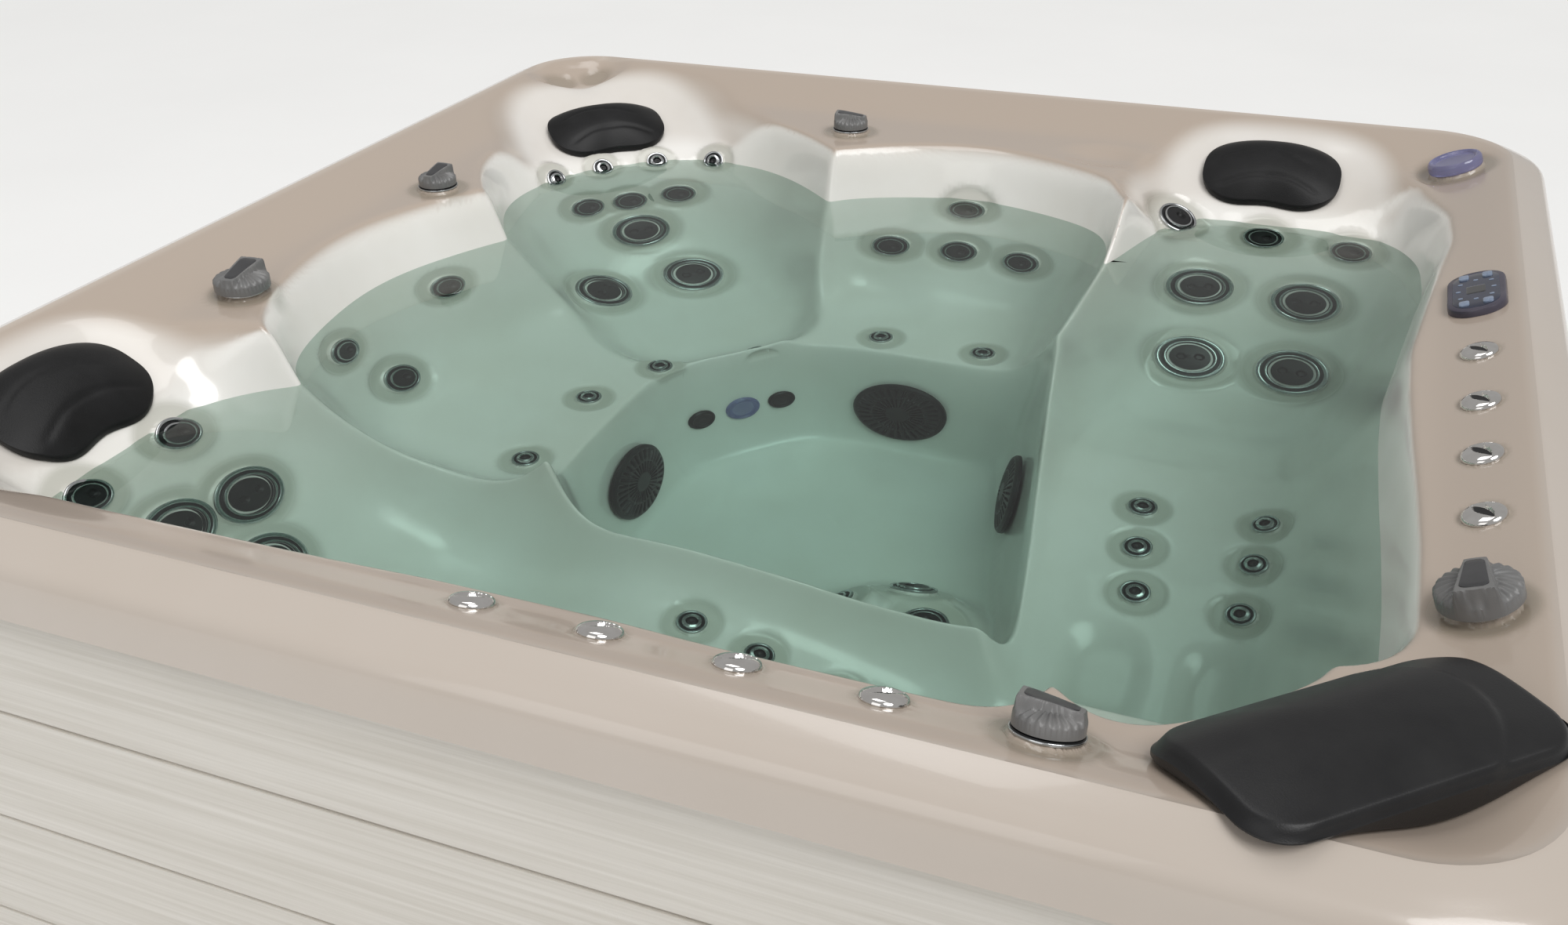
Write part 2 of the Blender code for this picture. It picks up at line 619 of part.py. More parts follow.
class Shell:
    """The formed shell, where fittings find their seats on it."""

    def __init__(self):
        bm = shell_skin()
        bm.normal_update()
        self.tree = BVHTree.FromBMesh(bm)
        self.spots = along_edges(bm)
        self.body = add_object("shell", bm, "acrylic")
        self.holes = bmesh.new()

    def from_above(self, x, y):
        point, normal, _, _ = self.tree.ray_cast(Vector((x, y, RAY_START)), Vector((0, 0, -1)))
        return point, self.up(normal)

    def highest(self, x, y, reach):
        spots = [(x, y)] + [(x + reach * math.cos(math.pi * k / 4), y + reach * math.sin(math.pi * k / 4))
                            for k in range(8)]
        return max(self.from_above(*spot)[0].z for spot in spots)

    def settle(self, bm):
        """Lowers a closed mesh until only the gap is left between it and the shell."""
        bmesh.ops.triangulate(bm, faces=bm.faces)
        tree, down, room = BVHTree.FromBMesh(bm), Vector((0, 0, -1)), []
        low_x, high_x = (pick(vert.co.x for vert in bm.verts) for pick in (min, max))
        low_y, high_y = (pick(vert.co.y for vert in bm.verts) for pick in (min, max))
        for spot in along_edges(bm):
            hit = self.tree.ray_cast(spot, down)
            room += [hit[3]] if hit[0] else []
        for spot in self.spots:
            if low_x < spot.x < high_x and low_y < spot.y < high_y:
                hit = tree.ray_cast(spot, -down, WELL_DEPTH)
                room += [hit[3]] if hit[0] else []
        bmesh.ops.translate(bm, vec=down * (min(room) - GAP), verts=bm.verts)

    def underside(self, spots):
        """The lowest height of the shell over these places in plan, seen from below."""
        hits = [self.tree.ray_cast(Vector((x, y, 0)), Vector((0, 0, 1)))[0] for x, y in spots]
        return min(hit.z for hit in hits if hit)

    def level(self, at, bearing, depth):
        """Where a level line from a place in plan meets the shell."""
        a = math.radians(bearing)
        start = Vector((at[0] * RIM_HALF, at[1] * RIM_HALF, RIM_Z - depth))
        point, normal, _, _ = self.tree.ray_cast(start, Vector((math.cos(a), math.sin(a), 0)))
        return point, self.up(normal)

    def up(self, normal):
        return normal if normal.z > 0 else -normal

    def seat(self, point, normal, radius):
        """A frame on the surface, lifted until a flat ring of this radius clears it."""
        turn = normal.to_track_quat("Z", "Y").to_matrix().to_4x4()
        lift = 0
        for k in range(16):
            a = math.pi * k / 8
            out = turn @ Vector((radius * math.cos(a), radius * math.sin(a), 0))
            high = point + out + normal * radius
            hit, _, _, _ = self.tree.ray_cast(high, -normal, 2 * radius)
            if hit:
                lift = max(lift, (hit - point).dot(normal))
        return Matrix.Translation(point + normal * (lift + GAP)) @ turn

    def hole(self, place, radius, deep, sides):
        lathe_into(self.holes, ((0, -deep), (radius, -deep), (radius, OVERRUN), (0, OVERRUN)), sides,
                   place)

    def cut_holes(self, name):
        cut(self.body, add_object(name + "_holes", self.holes))
        self.holes = bmesh.new()


def run_cost(run):
    steps = [b - a for a, b in zip(run, run[1:])]
    bends = sum(a.angle(b) ** 4 for a, b in zip(steps, steps[1:]))
    crossings = sum(bool(intersect_line_line_2d(run[i].xy, run[i + 1].xy, run[j].xy, run[j + 1].xy))
                    for j in range(len(steps)) for i in range(j - 1))
    return sum(step.length for step in steps) + BEND_PRICE * HOSE_R * bends + crossings * RIM_HALF


def chain_order(points):
    """The points in an order that makes a short run without crossings or sharp bends."""
    run, better = list(points), True
    while better:
        better = False
        for i in range(len(run) - 1):
            for j in range(i + 2, len(run) + 1):
                turned = run[:i] + run[i:j][::-1] + run[j:]
                moved = run[:i] + run[i + 1:j] + [run[i]] + run[j:]
                for trial in (turned, moved):
                    if run_cost(trial) < run_cost(run) - GAP:
                        run, better = trial, True
    return run


def tube_chain(name, points, radius, look):
    """A hose along level points, mitred at each bend."""
    bm = bmesh.new()
    rings = []
    count = len(points)
    for i, point in enumerate(points):
        before = (point - points[i - 1]).normalized() if i else (points[1] - point).normalized()
        after = (points[i + 1] - point).normalized() if i < count - 1 else before
        along = (before + after).normalized()
        side = Vector((-along.y, along.x, 0)).normalized()
        stretch = min(1 / max(along.dot(before), 0.5), 2)
        start = point - along * radius if i == 0 else point + along * radius if i == count - 1 else point
        turns = [2 * math.pi * (k + HOSE_TURN_SHARE) / HOSE_SIDES for k in range(HOSE_SIDES)]
        rings.append([bm.verts.new(start + side * (radius * math.cos(a) * stretch)
                                   + Vector((0, 0, radius * math.sin(a)))) for a in turns])
    join_rings(bm, rings)
    bm.faces.new(rings[0])
    bm.faces.new(list(reversed(rings[-1])))
    return add_object(name, bm, look)


def body_radius(kind):
    return VALVE_BODY_R if kind == "valve" else FACE_RADII[kind] * JET_BODY_SHARE


def face_profile(kind):
    """The turned section of one jet or valve: rear end, body through the shell, face and nozzle."""
    body, deep, top = body_radius(kind), BODY_LENS[kind], FACE_T + FACE_CROWN
    if kind == "valve":
        bore, end = SPINDLE_R + PLAY, FACE_T - SPINDLE_LEN - PLAY
        return ((0, -deep), (body, -deep), (body, 0), (VALVE_R, 0), (VALVE_R, FACE_T),
                (bore, FACE_T), (bore, end), (0, end))
    radius = FACE_RADII[kind]
    if kind == "large":
        socket, floor = radius * TURN_FACE_SHARE + PLAY / 2, FACE_T - TURN_FACE_T / 2
        return ((0, -deep), (body, -deep), (body, 0), (radius, 0), (radius, FACE_T),
                (socket, top), (socket, floor), (0, floor))
    if kind == "small":
        return ((0, -deep), (body, -deep), (body, 0), (radius, 0), (body, top), (0, top))
    nozzle = body * NOZZLE_SHARE
    return ((0, -deep), (body, -deep), (body, 0), (radius, 0), (body, top), (nozzle, top),
            (nozzle * THROAT_SHARE, 0), (0, 0))


def make_bank(shell, name, bank, chain_z):
    """One hose run with every jet and valve that it feeds, and the turning faces on it."""
    bodies, drops = bmesh.new(), bmesh.new()
    feet, turning, knobs = [], [], []
    found = [(kind, *shell.level(bank["seat"], bearing, depth * WELL_DEPTH))
             for kind, bearing, depth in bank["wall"]]
    found += [(kind, *shell.from_above(x * RIM_HALF, y * RIM_HALF)) for kind, x, y in bank["top"]]
    found += [(knob, *shell.from_above(x * RIM_HALF, y * RIM_HALF)) for knob, x, y in bank["valves"]]
    for label, point, normal in found:
        kind = label if label in FACE_RADII else "valve"
        radius = FACE_RADII.get(kind, VALVE_R)
        place = shell.seat(point, normal, radius)
        lathe_into(bodies, face_profile(kind), JET_SIDES[kind], place)
        shell.hole(place, body_radius(kind) + PLAY, BODY_LENS[kind], JET_SIDES[kind])
        if kind == "large":
            turning.append(place)
        if kind == "valve":
            knobs.append((label, place))
        foot = place @ Vector((0, 0, -BODY_LENS[kind] * DROP_AT_SHARE))
        low = Vector((foot.x, foot.y, chain_z))
        sunk = -HOSE_R * DROP_SINK_SHARE
        pipe = ((0, sunk), (DROP_R, sunk), (DROP_R, foot.z - chain_z), (0, foot.z - chain_z))
        lathe_into(drops, pipe, HOSE_SIDES, Matrix.Translation(low))
        feet.append(low)
    shell.cut_holes(name)
    look = "chrome" if "fountain" in name else "stainless"
    hose = tube_chain(name, chain_order(feet), HOSE_R, look)
    cut(hose, add_object(name + "_drops", drops), "UNION")
    cut(hose, add_object(name + "_bodies", bodies), "UNION")
    return turning, knobs


def make_knob(name, place, scale):
    """A turning knob with a grip bar, on its valve."""
    radius, height = KNOB_R * scale, KNOB_H * scale
    seat = place @ Matrix.Translation((0, 0, FACE_T + GAP))
    profile = ((0, -SPINDLE_LEN), (SPINDLE_R, -SPINDLE_LEN), (SPINDLE_R, 0), (radius, 0),
               (radius, height * 0.45), (radius * 0.86, height * 0.7), (0, height * 0.7))
    knob = lathe_at(name, profile, KNOB_SIDES, seat, "abs_grey")
    bar = bmesh.new()
    half = KNOB_BAR_W * scale / 2
    box_into(bar, (-radius * 0.9, -half, height * 0.5), (radius * 0.9, half, height * 0.7 + KNOB_BAR_H))
    grip = add_object(name + "_grip", bar, None, seat)
    cut(knob, grip, "UNION")


def make_turning_face(name, place):
    """A large jet's inner face, small enough to turn between the flats of its socket."""
    flats = LARGE_R * TURN_FACE_SHARE * math.cos(math.pi / JET_SIDES["large"])
    radius = flats - PLAY / 2
    low = FACE_T - TURN_FACE_T / 2 + GAP
    profile = ((0, low), (radius, low), (radius, FACE_T), (radius * 0.8, FACE_T + FACE_CROWN),
               (radius * 0.4, FACE_T + FACE_CROWN), (radius * 0.3, FACE_T), (0, FACE_T))
    lathe_at(name, profile, JET_SIDES["large"], place, "abs_black")


def make_jets(shell):
    """Every bank; the seats' hoses lie at one level under the seats."""
    faces, knobs = [], []
    for name, bank in BANK_SHARES.items():
        turning, valves = make_bank(shell, name, bank, RIM_Z - HOSE_DEPTHS.get(name, SEAT_HOSE_DEPTH))
        faces += [(name.replace("_jets", ""), place) for place in turning]
        knobs += valves
    counts = {}
    for name, place in faces:
        counts[name] = counts.get(name, 0) + 1
        make_turning_face(f"{name}_face_{counts[name]}", place)
    for name, place in knobs:
        make_knob(name, place, KNOB_BIG_SHARE if name in ("left_big_knob", "right_knob") else 1)


def make_footwell_fittings(shell):
    """Suction covers, air caps and the lamp, each through the footwell's wall."""
    middle = CENTRE_SHARES
    for name, (bearing, share) in SUCTION_SHARES.items():
        point, normal = shell.level(middle, bearing, share * WELL_DEPTH)
        place = shell.seat(point, normal, SUCTION_R)
        profile = ((0, -TAIL_LEN), (SUCTION_TAIL_R, -TAIL_LEN), (SUCTION_TAIL_R, 0), (SUCTION_R, 0),
                   (SUCTION_R, SUCTION_T * 0.5), (SUCTION_R * 0.86, SUCTION_T), (0, SUCTION_T))
        lathe(name, profile, SUCTION_SIDES, place, "abs_black")
        shell.hole(place, SUCTION_TAIL_R + PLAY, TAIL_LEN, SUCTION_SIDES)
    for name, (bearing, radius) in RISER_FITTINGS.items():
        point, normal = shell.level(middle, bearing, RISER_SHARE * WELL_DEPTH)
        place = shell.seat(point, normal, radius)
        tail = radius * JET_BODY_SHARE
        profile = ((0, -CAP_TAIL), (tail, -CAP_TAIL), (tail, 0), (radius, 0), (radius, FACE_T),
                   (radius * 0.8, FACE_T + FACE_CROWN), (0, FACE_T + FACE_CROWN))
        look = "clear_lens" if name == "footwell_lamp" else "abs_black"
        lathe(name, profile, CAP_SIDES, place, look)
        shell.hole(place, tail + PLAY, CAP_TAIL, CAP_SIDES)
    shell.cut_holes("footwell")


def make_light_cup(shell):
    x, y = (share * RIM_HALF for share in LIGHT_CUP_AT_SHARES)
    point, normal = shell.from_above(x, y)
    place = shell.seat(point, normal, LIGHT_CUP_R)
    tail = LIGHT_CUP_R * JET_BODY_SHARE
    profile = ((0, -TAIL_LEN), (tail, -TAIL_LEN), (tail, 0), (LIGHT_CUP_R, 0),
               (LIGHT_CUP_R, LIGHT_CUP_H * 0.6), (LIGHT_CUP_R * 0.9, LIGHT_CUP_H),
               (LIGHT_CUP_R * 0.75, LIGHT_CUP_H), (LIGHT_CUP_R * 0.65, LIGHT_CUP_H * 0.7),
               (0, LIGHT_CUP_H * 0.7))
    lathe("light_cup", profile, LIGHT_CUP_SIDES, place, "clear_lens")
    shell.hole(place, tail + PLAY, TAIL_LEN, LIGHT_CUP_SIDES)


def console_place(shell):
    """The control panel's frame on the rim, its length along Y."""
    x, y = (share * RIM_HALF for share in PANEL_AT_SHARES)
    place = shell.seat(*shell.from_above(x, y), CONSOLE_W / 2)
    across = place.to_3x3() @ Vector((0, 1, 0))
    return place @ Matrix.Rotation(math.atan2(across.x, across.y), 4, "Z")


def make_console(shell):
    """The control panel on the rim: an oval bezel with four sprung buttons in it."""
    place = console_place(shell)
    bezel = bmesh.new()
    slab_into(bezel, round_rect(CONSOLE_W, CONSOLE_L, CONSOLE_W * 0.45), 0, CONSOLE_T, place)
    console = add_object("control_panel", bezel, "console_film")
    body = bmesh.new()
    inner = round_rect(CONSOLE_W * 0.55, CONSOLE_L * 0.7, CONSOLE_W * 0.2, 2)
    slab_into(body, inner, -CONSOLE_BODY, CONSOLE_T / 2, place)
    cut(console, add_object("control_panel_body", body), "UNION")
    wide = [(px + math.copysign(PLAY, px), py + math.copysign(PLAY, py)) for px, py in inner]
    slab_into(shell.holes, wide, -CONSOLE_BODY, OVERRUN, place)
    shell.cut_holes("console")
    make_buttons(console, place)


def make_buttons(console, place):
    """Four buttons, each over a well that leaves room for its travel."""
    top = CONSOLE_T + BUTTON_PROUD
    low = top - BUTTON_T
    wells = bmesh.new()
    for k, name in enumerate(("pump_button", "air_button", "warmer_button", "lamp_button")):
        side, end = (-1 if k % 2 else 1), (-1 if k < 2 else 1)
        seat = place @ Matrix.Translation((side * CONSOLE_W * 0.2, end * BUTTON_PITCH / 2, 0))
        hole = round_rect(BUTTON_W + PLAY, BUTTON_L + PLAY, BUTTON_W * 0.3, 2)
        slab_into(wells, hole, low - BUTTON_TRAVEL - GAP, CONSOLE_T + OVERRUN, seat)
        button = bmesh.new()
        slab_into(button, round_rect(BUTTON_W, BUTTON_L, BUTTON_W * 0.3, 2), low, top,
                  Matrix.Identity(4))
        add_object(name, button, "button_film", seat)
    cut(console, add_object("button_wells", wells))


def pillow_outline():
    """The pillow's outline: out towards the rim and along it, drawn in on its water side."""
    points = []
    for k in range(PILLOW_SIDES):
        a = 2 * math.pi * k / PILLOW_SIDES
        along = math.copysign(abs(math.cos(a)) ** 0.8, math.cos(a)) * PILLOW_L / 2
        out = math.copysign(abs(math.sin(a)) ** 0.75, math.sin(a)) * PILLOW_W / 2
        if out < 0:
            out *= 1 - PILLOW_WAIST_SHARE * math.exp(-(along / (PILLOW_L * 0.22)) ** 2)
        points.append((out, along))
    return points


def pillow_height(out, share):
    """Its thickness at a share of the way in from its outline, with the seam pressed into it."""
    crown = PILLOW_T * (1 - (1 - share) ** 2.6)
    if share:
        crown -= PILLOW_SEAM * math.exp(-((out + PILLOW_W * 0.10) / (PILLOW_W * 0.06)) ** 2)
    return PILLOW_EDGE_SHARE * PILLOW_T + (1 - PILLOW_EDGE_SHARE) * crown


def make_pillow(shell, name, x, y, back):
    """A moulded head pillow: crowned, waisted on the water side, sides drawn in, with one seam."""
    middle = Matrix.Translation((x * RIM_HALF, y * RIM_HALF, 0))
    turn = middle @ Matrix.Rotation(math.radians(back), 4, "Z")
    bm = bmesh.new()

    def vert(out, along, thick):
        spot = turn @ Vector((out, along, 0))
        low = shell.from_above(spot.x, spot.y)[0].z + PILLOW_CLEAR
        return bm.verts.new((spot.x, spot.y, low + thick))

    outline = pillow_outline()
    under, top = [], []
    for j in range(PILLOW_LEVELS):
        share = j / PILLOW_LEVELS
        foot, scale = PILLOW_FOOT_SHARE * (1 - share), 1 - share
        under.append([vert(out * foot, along * foot, 0) for out, along in outline])
        top.append([vert(out * scale, along * scale, pillow_height(out * scale, share))
                    for out, along in outline])
    join_rings(bm, [[vert(0, 0, 0)]] + under[::-1] + top + [[vert(0, 0, pillow_height(0, 1))]])
    shell.settle(bm)
    add_object(name, bm, "pillow_foam")


def filter_frame():
    """A frame over the filter well with +X along the lid and +Y out to the corner."""
    x, y = (share * RIM_HALF for share in WELL_AT_SHARES)
    return Matrix.Translation((x, y, RIM_Z)) @ Matrix.Rotation(LID_TURN - math.pi, 4, "Z")


def make_filter(shell):
    """Bucket with its mouth to the pool, weir flap, cartridge and lid."""
    frame = filter_frame()
    make_bucket(shell, frame)
    make_weir(frame)
    make_cartridge(frame)
    make_lid(shell)


def make_bucket(shell, frame):
    """The filter's round bucket and the square neck that opens into the pool."""
    outer, top = WELL_R + WELL_WALL, -RIM_FALL
    sill, lintel = -MOUTH_LOW_DEPTH, -MOUTH_LOW_DEPTH + MOUTH_H
    bucket = lathe("filter_bucket", ((0, top - WELL_LEN), (outer, top - WELL_LEN), (outer, top),
                                     (0, top)), BUCKET_SIDES, frame, "abs_black")
    half = MOUTH_W / 2 + WELL_WALL
    neck = bmesh.new()
    box_into(neck, (-half, -MOUTH_LEN, sill - WELL_WALL), (half, 0, lintel + WELL_WALL), frame)
    cut(bucket, add_object("bucket_neck", neck), "UNION")
    floor = top - WELL_LEN + WELL_WALL
    cut(bucket, lathe("bucket_hollow", ((0, floor), (WELL_R, floor), (WELL_R, top + OVERRUN),
                                        (0, top + OVERRUN)), BUCKET_SIDES, frame))
    mouth = bmesh.new()
    box_into(mouth, (-MOUTH_W / 2, -MOUTH_LEN - OVERRUN, sill), (MOUTH_W / 2, 0, lintel), frame)
    cut(bucket, add_object("bucket_mouth", mouth))
    shell.hole(frame, outer + GAP, WELL_LEN, BUCKET_SIDES)
    shell.cut_holes("well")
    slot, wide = bmesh.new(), half + PLAY
    box_into(slot, (-wide, -MOUTH_LEN - OVERRUN * 2, sill - WELL_WALL - PLAY),
             (wide, 0, lintel + WELL_WALL + PLAY), frame)
    cut(shell.body, add_object("shell_slot", slot))


def make_weir(frame):
    """The flap that stands in the mouth, on a pin along its sill."""
    seat = frame @ Matrix.Translation((0, OVERRUN - MOUTH_LEN, WEIR_PIN_R + PLAY - MOUTH_LOW_DEPTH))
    wide, tall = MOUTH_W / 2 - PLAY, MOUTH_H - 2 * (WEIR_PIN_R + PLAY)
    flap = bmesh.new()
    box_into(flap, (-wide, -WEIR_T / 2, 0), (wide, WEIR_T / 2, tall))
    weir = add_object("weir_flap", flap, "abs_grey", seat)
    reach = MOUTH_W / 2 - GAP
    pin = bmesh.new()
    lathe_into(pin, ((0, -reach), (WEIR_PIN_R, -reach), (WEIR_PIN_R, reach), (0, reach)),
               WEIR_PIN_SIDES, Matrix.Rotation(math.pi / 2, 4, "Y"))
    cut(weir, add_object("weir_pin", pin, None, seat), "UNION")


def make_cartridge(frame):
    """The filter cartridge, a thick tube standing on the bucket's floor."""
    low = WELL_WALL + GAP - RIM_FALL - WELL_LEN
    high = low + CARTRIDGE_LEN
    paper = lathe("filter_cartridge", ((0, low), (CARTRIDGE_R, low), (CARTRIDGE_R, high), (0, high)),
                  CARTRIDGE_SIDES, frame, "cartridge_paper")
    bore = ((0, low - OVERRUN), (CARTRIDGE_BORE, low - OVERRUN), (CARTRIDGE_BORE, high + OVERRUN),
            (0, high + OVERRUN))
    cut(paper, lathe("cartridge_bore", bore, BORE_SIDES, frame))


def lid_height(across, share):
    """Height of the lid's top over its plan: crowned, its front falling to the water."""
    fall = soft_plus(-across - LID_W * 0.2, LID_W * 0.1) / (LID_W * 0.3)
    edge = 0.8 if share == LID_RING_SHARES[0] else 0
    return RIM_Z + LID_TOP - LID_CROWN * (share ** 2 + edge) - LID_FRONT_FALL * fall


def make_lid(shell):
    """The lid: crowned, its front falling to the water, resting on the rim over the well."""
    x, y = (share * RIM_HALF for share in LID_AT_SHARES)
    frame = Matrix.Translation((x, y, 0)) @ Matrix.Rotation(LID_TURN - math.pi, 4, "Z")
    outline = split_sides(round_rect(LID_L, LID_W, LID_R), LID_R)
    bm = bmesh.new()
    top, base = [], []
    for share in LID_RING_SHARES:
        spots = [frame @ Vector((px * share, py * share, 0)) for px, py in outline]
        top.append([bm.verts.new((spot.x, spot.y, lid_height(py * share, share)))
                    for spot, (_, py) in zip(spots, outline)])
        base.append([bm.verts.new((spot.x, spot.y,
                                   shell.highest(spot.x, spot.y, LID_REACH) + LID_CLEAR))
                     for spot in spots])
    join_rings(bm, base[::-1] + top)
    bm.faces.new(base[-1])
    bm.faces.new(top[-1])
    shell.settle(bm)
    add_object("filter_lid", bm, "abs_black")


def make_base(shell):
    """Tray with its hollow, and the block under the footwell."""
    bm = bmesh.new()
    slab_into(bm, round_rect(2 * PANEL_HALF, 2 * PANEL_HALF, CABINET_R, CABINET_STEPS), 0, TRAY_H,
              Matrix.Identity(4))
    tray = add_object("base_tray", bm, "abs_black")
    rim = TRAY_WALL + PANEL_T + GAP
    inner = 2 * (PANEL_HALF - rim)
    hollow = bmesh.new()
    slab_into(hollow, round_rect(inner, inner, CABINET_R - rim, CABINET_STEPS), TRAY_FLOOR,
              TRAY_H + OVERRUN, Matrix.Identity(4))
    cut(tray, add_object("tray_hollow", hollow))
    x, y = (share * RIM_HALF for share in SUPPORT_AT_SHARES)
    half = SUPPORT_HALF
    steps = np.linspace(-half, half, SUPPORT_SPOTS)
    top = shell.underside([(x + u, y + v) for u in steps for v in steps]) - GAP
    box("footwell_support", (x - half, y - half, TRAY_FLOOR + GAP), (x + half, y + half, top),
        "foam_block")


def make_frame(shell):
    """Square tube: four bent corner posts, a top ring and a ring on the tray, welded as one."""
    outer = PANEL_HALF - PANEL_T - FRAME_SET_BACK
    corner = CABINET_R - PANEL_T - FRAME_SET_BACK
    rings = [split_sides(round_rect(2 * (outer - share * FRAME_TUBE), 2 * (outer - share * FRAME_TUBE),
                                    corner - share * FRAME_TUBE, CABINET_STEPS), FRAME_TUBE / 3)
             for share in (0, 0.5, 1)]
    top = shell.underside([spot for ring in rings for spot in ring]) - GAP
    low = TRAY_H + GAP
    bm, core = bmesh.new(), bmesh.new()
    slab_into(bm, round_rect(2 * outer, 2 * outer, corner, CABINET_STEPS), low, top, Matrix.Identity(4))
    frame = add_object("support_frame", bm, "galvanised")
    inner = 2 * (outer - FRAME_TUBE)
    slab_into(core, round_rect(inner, inner, corner - FRAME_TUBE, CABINET_STEPS), low - OVERRUN,
              top + OVERRUN, Matrix.Identity(4))
    cut(frame, add_object("frame_core", core))
    window = outer - corner
    sill, head = low + FRAME_TUBE, top - FRAME_TUBE
    far = outer + OVERRUN
    cut(frame, box("frame_window_x", (-far, -window, sill), (far, window, head)))
    cut(frame, box("frame_window_y", (-window, -far, sill), (window, far, head)))


def make_cabinet():
    """Four boards and four rounded corner covers, tucked up behind the lip."""
    low = TRAY_H + GAP
    high = RIM_Z - LIP_DROPS[-1] + PANEL_TUCK
    half = PANEL_HALF
    end = half - CABINET_R - GAP
    for k, name in enumerate(("front_panel", "right_panel", "back_panel", "left_panel")):
        turn = Matrix.Rotation(k * math.pi / 2, 4, "Z")
        board = box(name, (-end, -half, low), (end, -half + PANEL_T, high), "cabinet_board", turn)
        grooves = bmesh.new()
        pitch = (high - low) / (PANEL_GROOVES + 1)
        for j in range(1, PANEL_GROOVES + 1):
            z = low + j * pitch
            box_into(grooves, (-end - OVERRUN, -half - OVERRUN, z - GROOVE_W / 2),
                     (end + OVERRUN, -half + GROOVE_DEEP, z + GROOVE_W / 2), turn)
        cut(board, add_object(name + "_grooves", grooves))
    middle = -half + CABINET_R
    arc = [(math.cos(a), math.sin(a)) for a in np.linspace(math.pi, 1.5 * math.pi, CABINET_STEPS + 1)]
    outline = [(middle + CABINET_R * c, middle + CABINET_R * s) for c, s in arc]
    inner = CABINET_R - PANEL_T
    outline += [(middle + inner * c, middle + inner * s) for c, s in reversed(arc)]
    for k, name in enumerate(("front_left_corner", "front_right_corner", "back_right_corner",
                              "back_left_corner")):
        bm = bmesh.new()
        slab_into(bm, outline, low, high, Matrix.Rotation(k * math.pi / 2, 4, "Z"))
        add_object(name, bm, "cabinet_board")


def make_pump():
    """Motor and wet end on one level shaft, each on its foot."""
    floor = TRAY_FLOOR + GAP
    x, y = (share * RIM_HALF for share in PUMP_AT_SHARES)
    axis_z = floor + VOLUTE_R
    lie = Matrix.Translation((x, y, axis_z)) @ Matrix.Rotation(-math.pi / 2, 4, "X")
    motor = lathe("pump_motor", (
        (0, GAP), (MOTOR_R * 0.8, GAP), (MOTOR_R, MOTOR_R * 0.3), (MOTOR_R, MOTOR_LEN * 0.8),
        (MOTOR_R * 0.9, MOTOR_LEN), (0, MOTOR_LEN)), PUMP_SIDES, lie, "motor_paint")
    cut(motor, box("motor_foot", (x - MOTOR_R * 0.7, y + MOTOR_LEN * 0.2, floor),
                   (x + MOTOR_R * 0.7, y + MOTOR_LEN * 0.75, axis_z)), "UNION")
    wet = lathe("pump_wet_end", (
        (0, -VOLUTE_LEN), (VOLUTE_R * 0.4, -VOLUTE_LEN), (VOLUTE_R * 0.4, -VOLUTE_LEN * 0.7),
        (VOLUTE_R, -VOLUTE_LEN * 0.6), (VOLUTE_R, -VOLUTE_LEN * 0.1), (VOLUTE_R * 0.8, 0), (0, 0)),
        PUMP_SIDES, lie, "abs_black")
    cut(wet, box("wet_end_foot", (x - VOLUTE_R * 0.5, y - VOLUTE_LEN * 0.6, floor),
                 (x + VOLUTE_R * 0.5, y - VOLUTE_LEN * 0.1, axis_z)), "UNION")


def make_heater():
    """The heater tube, lying on its saddle."""
    floor = TRAY_FLOOR + GAP
    x, y = (share * RIM_HALF for share in HEATER_AT_SHARES)
    axis_z = floor + SADDLE_H + HEATER_R
    lie = Matrix.Translation((x, y, axis_z)) @ Matrix.Rotation(math.pi / 2, 4, "X")
    end = HEATER_LEN / 2
    heater = lathe("heater", (
        (0, -end), (HEATER_R * 0.6, -end), (HEATER_R * 0.6, -end * 0.88), (HEATER_R, -end * 0.85),
        (HEATER_R, end * 0.85), (HEATER_R * 0.6, end * 0.88), (HEATER_R * 0.6, end), (0, end)),
        HEATER_SIDES, lie, "stainless")
    cut(heater, box("heater_saddle", (x - HEATER_R * 0.7, y - end * 0.5, floor),
                    (x + HEATER_R * 0.7, y + end * 0.5, axis_z)), "UNION")


def make_box_and_blower():
    """The control box and the air blower, standing on the tray."""
    floor = TRAY_FLOOR + GAP
    x, y = (share * RIM_HALF for share in BOX_AT_SHARES)
    wide, long, high = BOX_SIZE
    box("control_box", (x - wide / 2, y - long / 2, floor), (x + wide / 2, y + long / 2, floor + high),
        "abs_grey")
    x, y = (share * RIM_HALF for share in BLOWER_AT_SHARES)
    lathe("air_blower", (
        (0, 0), (BLOWER_R, 0), (BLOWER_R, BLOWER_H * 0.45), (BLOWER_R * 0.7, BLOWER_H * 0.6),
        (BLOWER_R * 0.7, BLOWER_H), (0, BLOWER_H)), PUMP_SIDES, Matrix.Translation((x, y, floor)),
        "abs_black")


def shade():
    for thing in bpy.data.objects:
        if thing.type == "MESH" and not thing.hide_render:
            thing.data.shade_smooth()
            thing.data.set_sharp_from_angle(angle=SHARP)


def main():
    clear_scene()
    shell = Shell()
    make_jets(shell)
    make_footwell_fittings(shell)
    make_light_cup(shell)
    make_console(shell)
    for name, (x, y, back) in PILLOW_SHARES.items():
        make_pillow(shell, name, x, y, back)
    make_filter(shell)
    make_base(shell)
    make_frame(shell)
    make_cabinet()
    make_pump()
    make_heater()
    make_box_and_blower()
    shade()


main()
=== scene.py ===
"""Dresses the acrylic hot tub: its formed shell, jets, valves, pillows, lid, water and cabinet.

Metres, +Z up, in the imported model's own frame, with the tub's middle at the origin on the floor.
Shares of the rim's half width place things in plan, and shares of the well's depth, counted down
from the crease of the rim, place them in height. The shell's shape is worked out twice: once in
the part's source, coarsely, and here finely, from the same sizes.
"""

import json
import logging
import math
from dataclasses import dataclass, field
from enum import Enum
from typing import Callable, ClassVar, Iterable, Sequence

